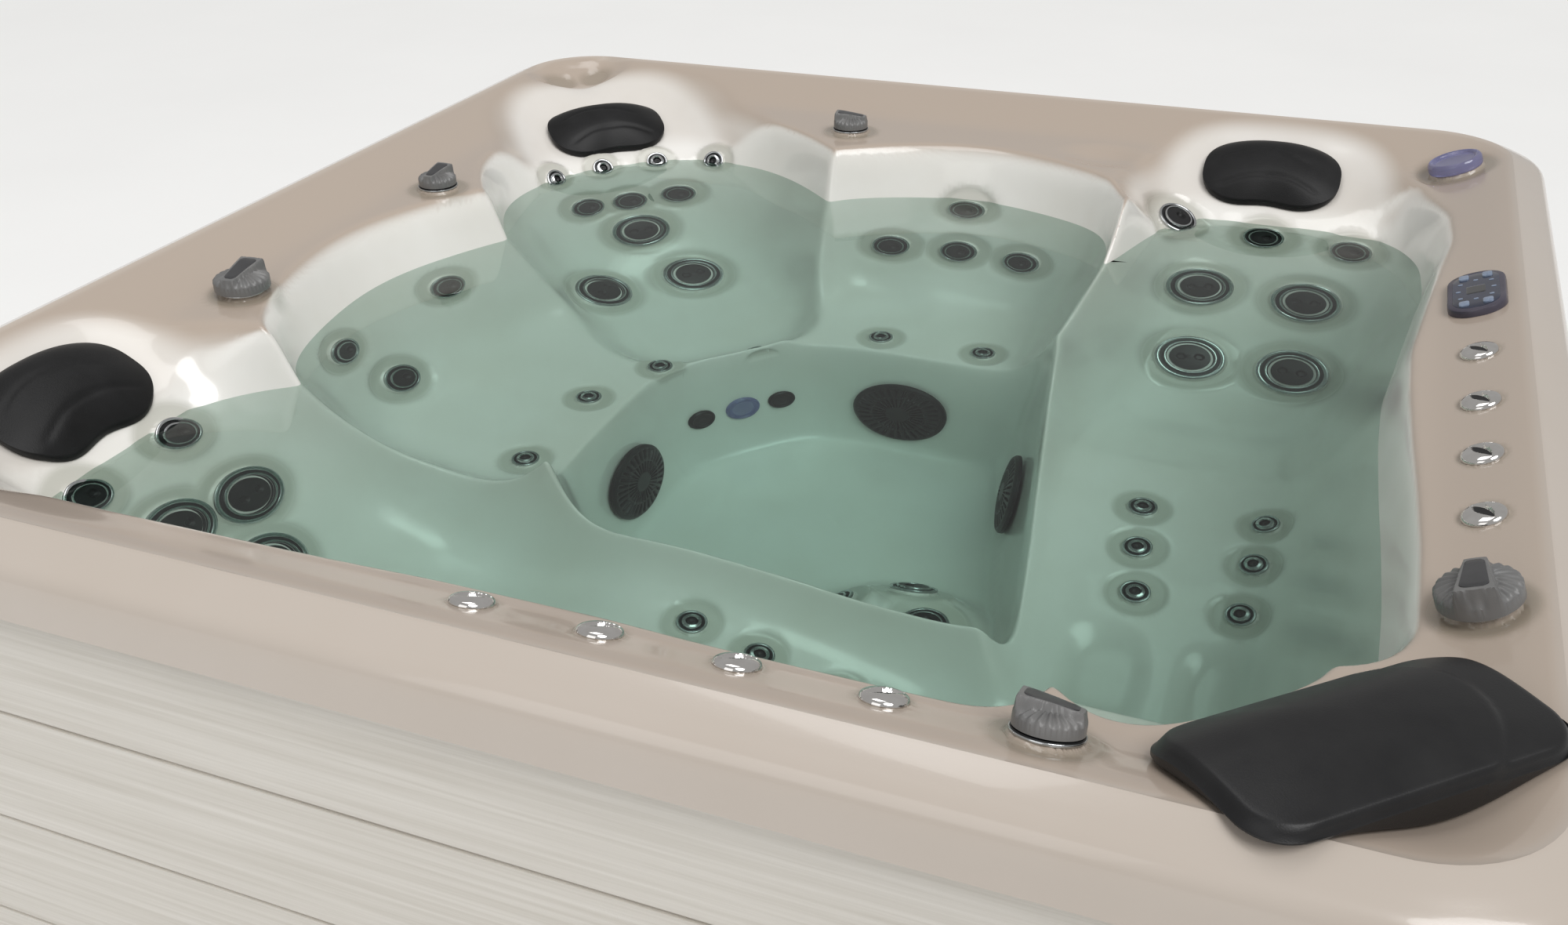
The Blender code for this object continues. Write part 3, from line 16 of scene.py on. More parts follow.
import bmesh
import bpy
import numpy as np
from bmesh.types import BMesh, BMVert
from bpy.types import Material, Mesh, Node, NodeSocket, NodeTree, Object
from mathutils import Matrix, Vector
from mathutils.geometry import intersect_line_line_2d

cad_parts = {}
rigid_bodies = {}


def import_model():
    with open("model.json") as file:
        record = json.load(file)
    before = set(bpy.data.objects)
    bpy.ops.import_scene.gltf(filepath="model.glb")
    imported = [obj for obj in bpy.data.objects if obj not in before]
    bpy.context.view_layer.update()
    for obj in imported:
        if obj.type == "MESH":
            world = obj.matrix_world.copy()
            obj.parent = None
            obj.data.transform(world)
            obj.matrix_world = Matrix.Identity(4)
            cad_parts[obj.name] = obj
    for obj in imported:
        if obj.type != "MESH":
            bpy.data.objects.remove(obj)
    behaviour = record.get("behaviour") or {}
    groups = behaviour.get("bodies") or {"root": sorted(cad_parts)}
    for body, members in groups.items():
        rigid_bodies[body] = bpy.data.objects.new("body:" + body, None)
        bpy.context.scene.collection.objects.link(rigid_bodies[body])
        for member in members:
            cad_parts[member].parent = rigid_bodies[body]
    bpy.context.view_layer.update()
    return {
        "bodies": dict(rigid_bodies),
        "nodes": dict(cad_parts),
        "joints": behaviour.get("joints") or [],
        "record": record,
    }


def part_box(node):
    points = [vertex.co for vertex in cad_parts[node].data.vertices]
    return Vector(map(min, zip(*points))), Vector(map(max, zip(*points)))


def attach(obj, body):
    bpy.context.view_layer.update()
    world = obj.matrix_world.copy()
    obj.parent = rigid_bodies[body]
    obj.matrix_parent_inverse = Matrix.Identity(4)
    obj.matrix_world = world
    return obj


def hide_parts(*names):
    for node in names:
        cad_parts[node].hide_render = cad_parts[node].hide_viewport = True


LOG = logging.getLogger("hot_tub")
TUB = "tub"                       # the body that everything fixed rides on
MILLIMETRE = 0.001
TINY = 1e-9                       # keeps a division by a distance whole
GAP = 0.0003                      # between pieces that touch
SHARP = math.radians(38)          # edges sharper than this are shaded hard
RING_POINTS = 12                  # round a ring's section
RING_POWER = 0.7                  # squareness of that section, 1 for an ellipse
COAT_ROUGHNESS = 0.05             # of every clear coat
DRIFT_ENDS = (0.3, 0.7)           # where in its noise a drift reaches its two colours
Array = np.ndarray
Outline = list[tuple[float, float]]


# Mesh tools


def join_rings(bm: BMesh, rings: Sequence[Sequence[BMVert]], material: int = 0) -> None:
    """Makes faces between neighbouring rings; a ring of one vertex closes to a point.

    Args:
        bm: The mesh that holds the rings.
        rings: Closed rings of vertices, of one count or a whole multiple of it.
        material: The number of the faces' material.
    """
    for low, high in zip(rings, rings[1:]):
        count, other = max(len(low), len(high)), min(len(low), len(high))
        step = count // other
        wide, thin = (low, high) if len(low) == count else (high, low)
        for k in range(count):
            n = (k + 1) % count
            a, b = thin[k // step], thin[(n // step) % other]
            loop = [wide[k], wide[n], a] if a == b else [wide[k], wide[n], b, a]
            bm.faces.new(loop).material_index = material


def even_turns(count: int) -> Array:
    """Gives evenly spread bearings round a whole turn, from 0."""
    return np.linspace(0, 2 * math.pi, count, endpoint=False)


def circle(radius: float, height: float, sides: int) -> list[Vector]:
    """Gives evenly spread points on a level circle round the Z axis."""
    return [Vector((radius * math.cos(a), radius * math.sin(a), height)) for a in even_turns(sides)]


def rounded(profile: Outline, radius: float, steps: int = 3) -> Outline:
    """Rounds the corners of a turned profile.

    Args:
        profile: Points of (radius, height), from axis to axis.
        radius: How far from each corner the rounding starts, at most.
        steps: Points on each rounding, less one.

    Returns:
        The profile with its inner corners rounded.
    """
    points = [Vector(point) for point in profile]
    made = [points[0]]
    for before, here, after in zip(points, points[1:], points[2:]):
        back, on = before - here, after - here
        a = here + back.normalized() * min(radius, back.length * 0.45)
        b = here + on.normalized() * min(radius, on.length * 0.45)
        made += [a * (1 - t) ** 2 + here * 2 * t * (1 - t) + b * t ** 2
                 for t in (k / steps for k in range(steps + 1))]
    return [tuple(point) for point in made + [points[-1]]]


def lathe_into(bm: BMesh, profile: Outline, sides: int, place: Matrix, material: int = 0) -> None:
    """Turns a profile of (radius, height) points about Z, from axis to axis.

    Args:
        bm: The mesh to add to.
        profile: The section, starting and ending on the axis, or a closed loop off it.
        sides: Points round the axis.
        place: Where the turned form stands.
        material: The number of its material.
    """
    rings = []
    for radius, height in profile:
        spots = circle(radius, height, sides) if radius > 0 else [Vector((0, 0, height))]
        rings.append([bm.verts.new(place @ spot) for spot in spots])
    if profile[0][0] > 0:
        rings.append(rings[0])
    join_rings(bm, rings, material)


def ring_into(bm: BMesh, inner: float, outer: float, low: float, high: float,
              place: Matrix, material: int = 0, sides: int = 48) -> None:
    """Adds a ring with a well rounded section.

    Args:
        bm: The mesh to add to.
        inner: Its bore's radius.
        outer: Its outer radius.
        low: Height of its underside.
        high: Height of its top.
        place: Where it stands.
        material: The number of its material.
        sides: Points round it.
    """
    section = []
    for a in even_turns(RING_POINTS):
        across = math.copysign(abs(math.cos(a)) ** RING_POWER, math.cos(a)) * (outer - inner) / 2
        rise = math.copysign(abs(math.sin(a)) ** RING_POWER, math.sin(a)) * (high - low) / 2
        section.append(((inner + outer) / 2 + across, (low + high) / 2 + rise))
    lathe_into(bm, section, sides, place, material)


def cap_into(bm: BMesh, place: Matrix, radii: Sequence[float], sides: int,
             height: Callable[[float, float], float], base: float) -> None:
    """Adds a round block whose top follows a height over its plan.

    Args:
        bm: The mesh to add to.
        place: Where the block stands.
        radii: Radii of the rings of its top, outward from the first.
        sides: Points round it.
        height: Gives the top's height for a radius and an angle.
        base: Height of its flat underside.
    """
    rings = [[bm.verts.new(place @ Vector((0, 0, height(0, 0))))]]
    for radius in radii:
        rings.append([bm.verts.new(place @ Vector((radius * math.cos(a), radius * math.sin(a),
                                                   height(radius, a)))) for a in even_turns(sides)])
    rings.append([bm.verts.new(place @ spot) for spot in circle(radii[-1], base, sides)])
    rings.append([bm.verts.new(place @ Vector((0, 0, base)))])
    join_rings(bm, rings)


def smooth_line(points: Sequence[Vector], steps: int) -> list[Vector]:
    """Draws a smooth line through points.

    Args:
        points: The points that it passes through.
        steps: Pieces between each two of them.

    Returns:
        Points along the line.
    """
    ends = [points[0] * 2 - points[1], *points, points[-1] * 2 - points[-2]]
    made = []
    for a, b, c, d in zip(ends, ends[1:], ends[2:], ends[3:]):
        for t in (k / steps for k in range(steps)):
            made.append((b * 2 + (c - a) * t + (a * 2 - b * 5 + c * 4 - d) * t ** 2
                         + (b * 3 - a - c * 3 + d) * t ** 3) / 2)
    return made + [points[-1].copy()]


def tube_into(bm: BMesh, line: Sequence[Vector], radius: float, sides: int) -> None:
    """Adds a round tube along a line, closed at both ends.

    Args:
        bm: The mesh to add to.
        line: Points along its middle.
        radius: Its outer radius.
        sides: Points round it.
    """
    along = (line[1] - line[0]).normalized()
    side = along.orthogonal().normalized()
    rings = [[bm.verts.new(line[0])]]
    for i, point in enumerate(line):
        after = line[min(i + 1, len(line) - 1)] - line[max(i - 1, 0)]
        along = after.normalized() if after.length > TINY else along
        side = (side - along * side.dot(along)).normalized()
        up = along.cross(side)
        rings.append([bm.verts.new(point + (side * math.cos(a) + up * math.sin(a)) * radius)
                      for a in even_turns(sides)])
    rings.append([bm.verts.new(line[-1])])
    join_rings(bm, rings)


def round_rect(length: float, width: float, radius: float, steps: int = 8) -> Outline:
    """Draws a rectangle with rounded corners, about the origin.

    Args:
        length: Its size along X.
        width: Its size along Y.
        radius: The rounding of its corners.
        steps: Pieces on each corner.

    Returns:
        Its outline.
    """
    points = []
    for cx, cy, start in ((1, 1, 0), (-1, 1, 90), (-1, -1, 180), (1, -1, 270)):
        for k in range(steps + 1):
            a = math.radians(start + 90 * k / steps)
            points.append((cx * (length / 2 - radius) + radius * math.cos(a),
                           cy * (width / 2 - radius) + radius * math.sin(a)))
    return points


def split_sides(points: Outline, longest: float) -> Outline:
    """Adds points on an outline's long sides.

    Args:
        points: The outline.
        longest: The longest side that stays whole.

    Returns:
        The outline with its sides split.
    """
    made = []
    for a, b in zip(points, points[1:] + points[:1]):
        count = max(1, round(math.dist(a, b) / longest))
        made += [(a[0] + (b[0] - a[0]) * k / count, a[1] + (b[1] - a[1]) * k / count)
                 for k in range(count)]
    return made


def plate_into(bm: BMesh, outline: Outline, low: float, high: float, place: Matrix,
               edge: float, crown: float = 0) -> None:
    """Adds a plate with a rounded top edge and a slightly crowned face.

    Args:
        bm: The mesh to add to.
        outline: Its plan.
        low: Height of its underside.
        high: Height of its top's edge.
        place: Where it stands.
        edge: Rounding of its top edge.
        crown: How much higher its middle stands.
    """
    reach = max(math.hypot(x, y) for x, y in outline)
    levels = [(0.0, low), (0.0, high - edge), (edge * 0.3, high - edge * 0.3), (edge, high)]
    rings = []
    for inset, height in levels:
        scale = 1 - inset / reach
        rings.append([bm.verts.new(place @ Vector((x * scale, y * scale, height))) for x, y in outline])
    for share in (0.75, 0.5, 0.25):
        scale = share * (1 - edge / reach)
        rings.append([bm.verts.new(place @ Vector((x * scale, y * scale, high + crown * (1 - share ** 2))))
                      for x, y in outline])
    rings.append([bm.verts.new(place @ Vector((0, 0, high + crown)))])
    rings.insert(0, [bm.verts.new(place @ Vector((0, 0, low)))])
    join_rings(bm, rings)


def smoothstep(low: float, high: float, value: Array | float) -> Array | float:
    """Rises smoothly from 0 at low to 1 at high."""
    share = np.clip((value - low) / (high - low), 0, 1)
    return share * share * (3 - 2 * share)


# Finishes


def linear(code: str) -> tuple[float, float, float, float]:
    """Turns an sRGB colour written as #RRGGBB into Blender's linear colour, with an alpha of 1."""
    shares = [int(code[k:k + 2], 16) / 255 for k in (1, 3, 5)]
    return (*(s / 12.92 if s <= 0.04045 else ((s + 0.055) / 1.055) ** 2.4 for s in shares), 1.0)


def per_metre(size: float) -> float:
    """Gives a texture's scale for a pattern that repeats every so many millimetres."""
    return 1 / (size * MILLIMETRE)


def add_node(tree: NodeTree, kind: str, sockets: dict | None = None, **settings: object) -> Node:
    """Adds a node with its settings, its sockets' values and its links.

    Args:
        tree: The material's nodes.
        kind: The node's type without its ShaderNode prefix.
        sockets: A value, or a socket to link from, for each input by name or number.
        **settings: The node's own properties.

    Returns:
        The node.
    """
    node = tree.nodes.new("ShaderNode" + kind)
    for key, value in settings.items():
        setattr(node, key, value)
    for key, value in (sockets or {}).items():
        if isinstance(value, NodeSocket):
            tree.links.new(value, node.inputs[key])
        else:
            node.inputs[key].default_value = value
    return node


@dataclass(frozen=True)
class Finish:
    """A moulded or metal finish with fine mottling and a grain in its surface."""

    name: str
    slot: str
    colour: str
    other: str                    # the colour that it drifts to
    roughness: float
    metallic: float = 0.0
    drift_mm: float = 40          # size of the drift between the two colours
    grain_mm: float = 1.2         # size of the grain in its surface
    grain: float = 0.05           # and how strongly it shows
    coat: float = 0.0
    rough_span: float = 0.06      # how far the roughness varies either way
    ior: float = 1.5              # of a plastic, and not used on a metal

    def material(self) -> Material:
        """Gives the finish's material, made the first time that it is asked for.

        Returns:
            The material.
        """
        if self.name in bpy.data.materials:
            return bpy.data.materials[self.name]
        made = bpy.data.materials.new(self.name)
        made.use_nodes = True
        self.draw(made.node_tree, made.node_tree.nodes["Principled BSDF"])
        return made

    def drift(self, tree: NodeTree) -> NodeSocket:
        """Adds a slow noise over the piece.

        Args:
            tree: The material's nodes.

        Returns:
            The noise's factor.
        """
        where = add_node(tree, "TexCoord").outputs["Object"]
        return add_node(tree, "TexNoise", {"Vector": where, "Scale": per_metre(self.drift_mm),
                                           "Detail": 3}).outputs[0]

    def draw(self, tree: NodeTree, shader: Node) -> None:
        """Sets the shader's sockets and adds the drift and the grain.

        Args:
            tree: The material's nodes.
            shader: Its main shader.
        """
        shader.inputs["Metallic"].default_value = self.metallic
        if not self.metallic:
            shader.inputs["IOR"].default_value = self.ior
        if self.coat:
            shader.inputs["Coat Weight"].default_value = self.coat
            shader.inputs["Coat Roughness"].default_value = COAT_ROUGHNESS
        drift = self.drift(tree)
        ramp = add_node(tree, "ValToRGB", {0: drift})
        for stop, position, code in zip(ramp.color_ramp.elements, DRIFT_ENDS, (self.colour, self.other)):
            stop.position, stop.color = position, linear(code)
        tree.links.new(ramp.outputs[0], shader.inputs["Base Color"])
        rough = add_node(tree, "MapRange", {"Value": drift, "To Min": self.roughness - self.rough_span,
                                            "To Max": self.roughness + self.rough_span})
        tree.links.new(rough.outputs[0], shader.inputs["Roughness"])
        self.add_grain(tree, shader)

    def add_grain(self, tree: NodeTree, shader: Node) -> None:
        """Adds the grain as a bump.

        Args:
            tree: The material's nodes.
            shader: Its main shader.
        """
        where = add_node(tree, "TexCoord").outputs["Object"]
        grain = add_node(tree, "TexNoise", {"Vector": where, "Scale": per_metre(self.grain_mm),
                                            "Detail": 2})
        bump = add_node(tree, "Bump", {"Height": grain.outputs[0], "Strength": self.grain,
                                       "Distance": self.grain_mm * MILLIMETRE})
        tree.links.new(bump.outputs[0], shader.inputs["Normal"])


@dataclass(frozen=True)
class CastAcrylic(Finish):
    """Cast acrylic sheet, vacuum formed: glossy and cream; the rim's upward flats and lip are painted beige,
    a painted reflection and shade.

    Forming stretches the sheet, so that its pearl drifts slowly. The recesses round the fittings
    are moulded against a textured tool, which makes them duller, and are darkened with painted shade.
    """

    # painted reflection and shade: the beige that the rim's upward flats and its lip are turned to
    rim: str = "#AFA194"
    recess: str = "#D7D8D3"       # painted shade: what a recess leaves of the colour round it
    recess_roughness: float = 0.30

    def draw(self, tree: NodeTree, shader: Node) -> None:
        """Adds the rim's painted reflection and shade, and the recesses' painted shade and roughness, to the
        pearl.

        Args:
            tree: The material's nodes.
            shader: Its main shader.
        """
        super().draw(tree, shader)
        pearl = shader.inputs["Base Color"].links[0].from_socket
        # painted reflection and shade turn the rim's upward flats beige; the recesses are darkened as
        # painted shade
        tint = add_node(tree, "Attribute", attribute_name="rim_painted_shade").outputs["Fac"]
        sunk = add_node(tree, "Attribute", attribute_name="recess").outputs["Fac"]
        rim_shade_mix = add_node(tree, "Mix", {0: tint, 6: pearl, 7: linear(self.rim)}, data_type="RGBA")
        dull_shade = add_node(tree, "Mix", {0: sunk, 6: rim_shade_mix.outputs[2], 7: linear(self.recess)},
                        data_type="RGBA", blend_type="MULTIPLY")
        tree.links.new(dull_shade.outputs[2], shader.inputs["Base Color"])
        rough = shader.inputs["Roughness"].links[0].from_socket
        worn = add_node(tree, "Mix", {0: sunk, 2: rough, 3: self.recess_roughness}, data_type="FLOAT")
        tree.links.new(worn.outputs[0], shader.inputs["Roughness"])


@dataclass(frozen=True)
class SpunSteel(Finish):
    """Stainless steel, spun and polished: a shine drawn out a little by its turning lines."""

    stretch: float = 0.25         # how far the turning lines draw out what it reflects

    def draw(self, tree: NodeTree, shader: Node) -> None:
        """Draws its reflections out along the turning lines."""
        super().draw(tree, shader)
        shader.inputs["Anisotropic"].default_value = self.stretch


@dataclass(frozen=True)
class ClearResin(Finish):
    """Polycarbonate, injection moulded and tinted: clear, with the tint deeper at its edges."""

    ior: float = 1.58
    transmission: float = 0.75

    def draw(self, tree: NodeTree, shader: Node) -> None:
        """Adds the clearness to the tint."""
        super().draw(tree, shader)
        shader.inputs["Transmission Weight"].default_value = self.transmission


@dataclass(frozen=True)
class PoolWater:
    """Still water in a pale basin: clear, and greener with every hand's depth of it."""

    name: str = "still_pool_water"
    slot: str = "water"
    surface: str = "#889A91"      # tint of whatever is seen through its surface
    colour: str = "#8CC8BE"       # what a deep layer of it lets through
    density: float = 0.6          # per metre
    ior: float = 1.333
    ripple_mm: float = 260        # length of its slow swell
    ripple: float = 0.02          # how strongly the swell shows
    swell: float = 0.1            # and its height, in metres

    def material(self) -> Material:
        """Makes the water: clear with absorption, and open to the lamps' light.

        Returns:
            The material.
        """
        made = bpy.data.materials.new(self.name)
        made.use_nodes = True
        tree = made.node_tree
        shader, out = tree.nodes["Principled BSDF"], tree.nodes["Material Output"]
        for key, value in {"Base Color": linear(self.surface), "Roughness": 0.0, "IOR": self.ior,
                           "Transmission Weight": 1.0}.items():
            shader.inputs[key].default_value = value
        where = add_node(tree, "TexCoord").outputs["Object"]
        swell = add_node(tree, "TexNoise", {"Vector": where, "Scale": per_metre(self.ripple_mm),
                                            "Detail": 1})
        bump = add_node(tree, "Bump", {"Height": swell.outputs[0], "Strength": self.ripple,
                                       "Distance": self.swell})
        tree.links.new(bump.outputs[0], shader.inputs["Normal"])
        lamp = add_node(tree, "LightPath").outputs["Is Shadow Ray"]
        open_way = add_node(tree, "BsdfTransparent")
        both = add_node(tree, "MixShader", {0: lamp, 1: shader.outputs[0], 2: open_way.outputs[0]})
        tree.links.new(both.outputs[0], out.inputs["Surface"])
        depth = add_node(tree, "VolumeAbsorption", {"Color": linear(self.colour), "Density": self.density})
        tree.links.new(depth.outputs[0], out.inputs["Volume"])
        return made


@dataclass(frozen=True)
class DrawnBoard(Finish):
    """Co-extruded polystyrene board, drawn through a roller: a level woodgrain, matt."""

    along_mm: float = 420         # length of a streak
    across_mm: float = 7          # and its width

    def drift(self, tree: NodeTree) -> NodeSocket:
        """Adds streaks that run level round the cabinet.

        Args:
            tree: The material's nodes.

        Returns:
            The streaks' factor.
        """
        where = add_node(tree, "TexCoord").outputs["Object"]
        along, across = per_metre(self.along_mm), per_metre(self.across_mm)
        level = add_node(tree, "Mapping", {"Vector": where, "Scale": (along, along, across)})
        return add_node(tree, "TexNoise", {"Vector": level.outputs[0], "Scale": 1.0, "Detail": 4,
                                           "Roughness": 0.6}).outputs[0]


# A grain much finer than a millimetre doesn't show from the camera, so each is drawn that coarse.

# Thin acrylic over its laminate is glossy and even, with a pearl too slow to see as a pattern.
ACRYLIC = CastAcrylic("cast_acrylic_formed", "acrylic", "#ECEAE6", "#E4E1DB", 0.20, drift_mm=180,
                      grain_mm=3, grain=0.015, coat=0.5, rough_span=0.03)
# ABS from a spark-eroded mould: an even fine grain that blurs what it reflects.
ABS_BLACK = Finish("abs_black_moulded", "abs_black", "#131315", "#1A1A1B", 0.42, grain_mm=1.5, grain=0.12,
                   ior=1.42)
ABS_GREY = Finish("abs_grey_moulded", "abs_grey", "#676767", "#747372", 0.38, grain_mm=1.2, grain=0.10)
# The same moulding with a smoother face, so that the grip's inset shines more than its skirt.
ABS_DARK_INSET = Finish("abs_dark_inset", "abs_grey", "#3A3A3C", "#323234", 0.30, grain_mm=1.2, grain=0.05)
# Spun steel shows bright bands where it turns to the lights, and dark ones between.
STEEL = SpunSteel("stainless_spun", "stainless", "#C9CBCC", "#B9BBBD", 0.16, 1.0, drift_mm=12,
                  grain_mm=0.8, grain=0.03)
# Chrome on ABS is mirror bright, with the faintest haze.
CHROME = Finish("chrome_plated", "chrome", "#E2E0DE", "#D8D5D2", 0.07, 1.0, drift_mm=15, grain_mm=2,
                grain=0.01, rough_span=0.02)
# Foam skinned in its mould: a soft sheen with a fine leather-like pebble.
PILLOW = Finish("skinned_foam", "pillow_foam", "#111112", "#19191A", 0.46, grain_mm=1.6, grain=0.25,
                ior=1.32)
# Polyester film printed on its back: a smooth gloss over a blue-black ink.
CONSOLE = Finish("printed_film_dark", "console_film", "#141A2E", "#1C2440", 0.22, drift_mm=30,
                 grain_mm=4, grain=0.02, coat=0.6)
# Moulded ABS in plum: satin, so that its rounded edge shows as a soft line of light.
BEZEL = Finish("abs_plum_bezel", "console_film", "#4A4652", "#3D3A47", 0.30, grain_mm=1.5, grain=0.05)
# Clear-coated glass over a dark display: near black, and as smooth as a mirror.
SCREEN = Finish("display_glass", "console_film", "#06070A", "#0B0D12", 0.10, drift_mm=20, grain_mm=6,
                grain=0.01, coat=0.8)
# Printed film in blue-grey: the keys and marks stand out pale from the console.
KEYS = Finish("printed_film_keys", "button_film", "#6E7C94", "#8593A8", 0.28, drift_mm=8, grain_mm=3,
              grain=0.02, coat=0.4)
# Tinted polycarbonate: the lamp's cup glows blue-violet at its edge.
LENS = ClearResin("polycarbonate_blue", "clear_lens", "#B2B4E6", "#A3A5DC", 0.10, drift_mm=30,
                  grain_mm=5, grain=0.01)
# Co-extruded polystyrene board: matt, in two greys that its drawn grain brings out.
BOARD = DrawnBoard("polystyrene_board", "cabinet_board", "#D9D5CE", "#C9C4BB", 0.52, grain_mm=2.5,
                   grain=0.12)
# Hot-dip galvanised tube: a spangle of crystals some 10 mm across.
GALVANISED = Finish("galvanised_tube", "galvanised", "#B4B7B9", "#9DA1A4", 0.42, 1.0, drift_mm=10,
                    grain_mm=4, grain=0.05)
# Spunbonded polyester: a dead matt, faintly blue white.
PAPER = Finish("spunbond_polyester", "cartridge_paper", "#E6EAEC", "#DCE1E4", 0.82, drift_mm=6,
               grain_mm=1, grain=0.3)
# Cast urethane: an even blue with a waxy half gloss.
END_CAP = Finish("urethane_end_cap", "cartridge_paper", "#3C6FA0", "#37668F", 0.45, grain_mm=1.5, grain=0.1)
# Cast foam: matt, with the coarse pores of a cut block.
FOAM = Finish("polyurethane_foam", "foam_block", "#8F8E86", "#7F7E77", 0.9, drift_mm=12, grain_mm=3,
              grain=0.5)
# Baked enamel on cast aluminium, slightly pebbled.
ENAMEL = Finish("enamel_cast", "motor_paint", "#33373D", "#2C3035", 0.40, grain_mm=1.4, grain=0.2)
# Flexible PVC hose: a dull white with a slow yellowing.
HOSE = Finish("flexible_pvc", "stainless", "#DCDAD2", "#CFCCC2", 0.45, drift_mm=60, grain_mm=2, grain=0.08)
# Rolled paint: a dull white that takes soft shadows.
FLOOR = Finish("studio_floor", "", "#FAFAF9", "#F7F7F6", 0.75, drift_mm=900, grain_mm=20, grain=0.02)


def add_object(name: str, bm: BMesh) -> Object:
    """Makes an object of a mesh, with its faces turned outward.

    Args:
        name: The object's name.
        bm: Its mesh, which is freed.

    Returns:
        The object.
    """
    bmesh.ops.recalc_face_normals(bm, faces=bm.faces)
    mesh = bpy.data.meshes.new(name)
    bm.to_mesh(mesh)
    bm.free()
    made = bpy.data.objects.new(name, mesh)
    bpy.context.collection.objects.link(made)
    return made


def add_piece(name: str, bm: BMesh, finishes: Finish | PoolWater | Sequence[Finish], body: str = TUB,
              nodes: Iterable[str] = (), slot: str | None = None) -> Object:
    """Makes a piece of a mesh, dresses it and gives it its body.

    Args:
        name: The piece's name.
        bm: Its mesh, which is freed.
        finishes: Its finish, or one for each of its material numbers.
        body: The body that it moves with.
        nodes: The CAD nodes that it stands for.
        slot: The record's material slot, if not the first finish's; not used.

    Returns:
        The piece.
    """
    finishes = [finishes] if hasattr(finishes, "material") else list(finishes)
    piece = add_object(name, bm)
    for finish in finishes:
        piece.data.materials.append(finish.material())
    piece.data.shade_smooth()
    piece.data.set_sharp_from_angle(angle=SHARP)
    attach(piece, body)
    if nodes:
        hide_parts(*nodes)
    slot or finishes[0].slot
    return piece


def carve(piece: Object, tool: Object) -> None:
    """Cuts a tool out of a closed piece and removes the tool.

    Args:
        piece: The piece, whose mesh changes.
        tool: What is cut out of it.
    """
    modifier = piece.modifiers.new(tool.name, "BOOLEAN")
    modifier.operation, modifier.object, modifier.solver = "DIFFERENCE", tool, "MANIFOLD"
    cut = bpy.data.meshes.new_from_object(piece.evaluated_get(bpy.context.evaluated_depsgraph_get()))
    piece.modifiers.clear()
    piece.data = cut
    bpy.data.objects.remove(tool, do_unlink=True)


# Shell


def soft_min(a: Array, b: Array, k: float) -> Array:
    """Gives the lower of two heights, rounded where they meet over a width k."""
    h = np.clip((1 + (b - a) / k) / 2, 0, 1)
    return b * (1 - h) + a * h - k * h * (1 - h)


def soft_plus(d: Array, w: float) -> Array:
    """Gives a distance past an edge, eased in over a width w."""
    return w * np.logaddexp(0, d / w)


@dataclass(frozen=True)
class Hollow:
    """A hollow in the shell, with its middle in plan and the bearing of its back in degrees."""

    at: tuple[float, float]
    back: float

    def local(self, x: Array, y: Array, unit: float) -> tuple[Array, Array]:
        """Gives plan coordinates along the back's bearing and across it."""
        a, dx, dy = math.radians(self.back), x - self.at[0] * unit, y - self.at[1] * unit
        return dx * math.cos(a) + dy * math.sin(a), -dx * math.sin(a) + dy * math.cos(a)

    @staticmethod
    def past_outline(u: Array, v: Array, half: Sequence[float], power: float) -> Array:
        """Gives how far points lie past a rounded box, on the line to its middle: below 0 inside."""
        reach = (np.abs(u / half[0]) ** power + np.abs(v / half[1]) ** power) ** (1 / power) + TINY
        return np.hypot(u, v) * (1 - 1 / reach)


@dataclass(frozen=True)
class Seat(Hollow):
    """A seat: a flat floor in a rounded box, with a sloping back and steeper sides."""

    half: tuple[float, float]
    power: float
    floor: float
    walls: tuple[float, float]
    ease: float
    side_ease: float = 0.45

    def height(self, x: Array, y: Array, basin: "Basin") -> Array:
        """Gives the seat's height over the plan.

        Args:
            x: Places along X.
            y: Places along Y.
            basin: The shell that it lies in.

        Returns:
            The heights.
        """
        u, v = self.local(x, y, basin.rim_half)
        half = [share * basin.rim_half for share in self.half]
        d = self.past_outline(u, v, half, self.power)
        facing = np.clip(u / (np.hypot(u, v) + TINY), 0, 1) ** 2
        slope = self.walls[1] + (self.walls[0] - self.walls[1]) * facing
        ease = self.ease * basin.rim_half * (self.side_ease + (1 - self.side_ease) * facing)
        return basin.rim_z - self.floor * basin.well_depth + slope * soft_plus(d, ease)


@dataclass(frozen=True)
class Lounger(Hollow):
    """A lounger: a bed that rises and falls along its length, between two walls."""

    wall: float
    ease: float
    ends: tuple[float, float]
    run: tuple[float, ...]
    drop: tuple[float, ...]
    wall_edge: tuple[float, ...]
    pool_edge: tuple[float, ...]

    def height(self, x: Array, y: Array, basin: "Basin") -> Array:
        """Gives the lounger's height over the plan.

        Args:
            x: Places along X.
            y: Places along Y.
            basin: The shell that it lies in.

        Returns:
            The heights.
        """
        u, v = self.local(x, y, basin.rim_half)
        run = np.array(self.run) * basin.rim_half
        ease = self.ease * basin.rim_half
        taps = (-ease, -ease / 2, 0, ease / 2, ease)

        def along(shares: Sequence[float], unit: float) -> Array:
            """Gives a size along the run, eased at its stations."""
            return sum(np.interp(u + tap, run, np.array(shares) * unit) for tap in taps) / len(taps)

        low, high = (end * basin.rim_half for end in self.ends)
        edges = along(self.wall_edge, basin.rim_half), along(self.pool_edge, basin.rim_half)
        past_end = soft_plus(np.maximum(low - u, u - high), ease / 2)
        past_side = soft_plus(np.maximum(np.minimum(*edges) - v, v - np.maximum(*edges)), ease)
        return basin.rim_z - along(self.drop, basin.well_depth) + self.wall * np.hypot(past_side, past_end)


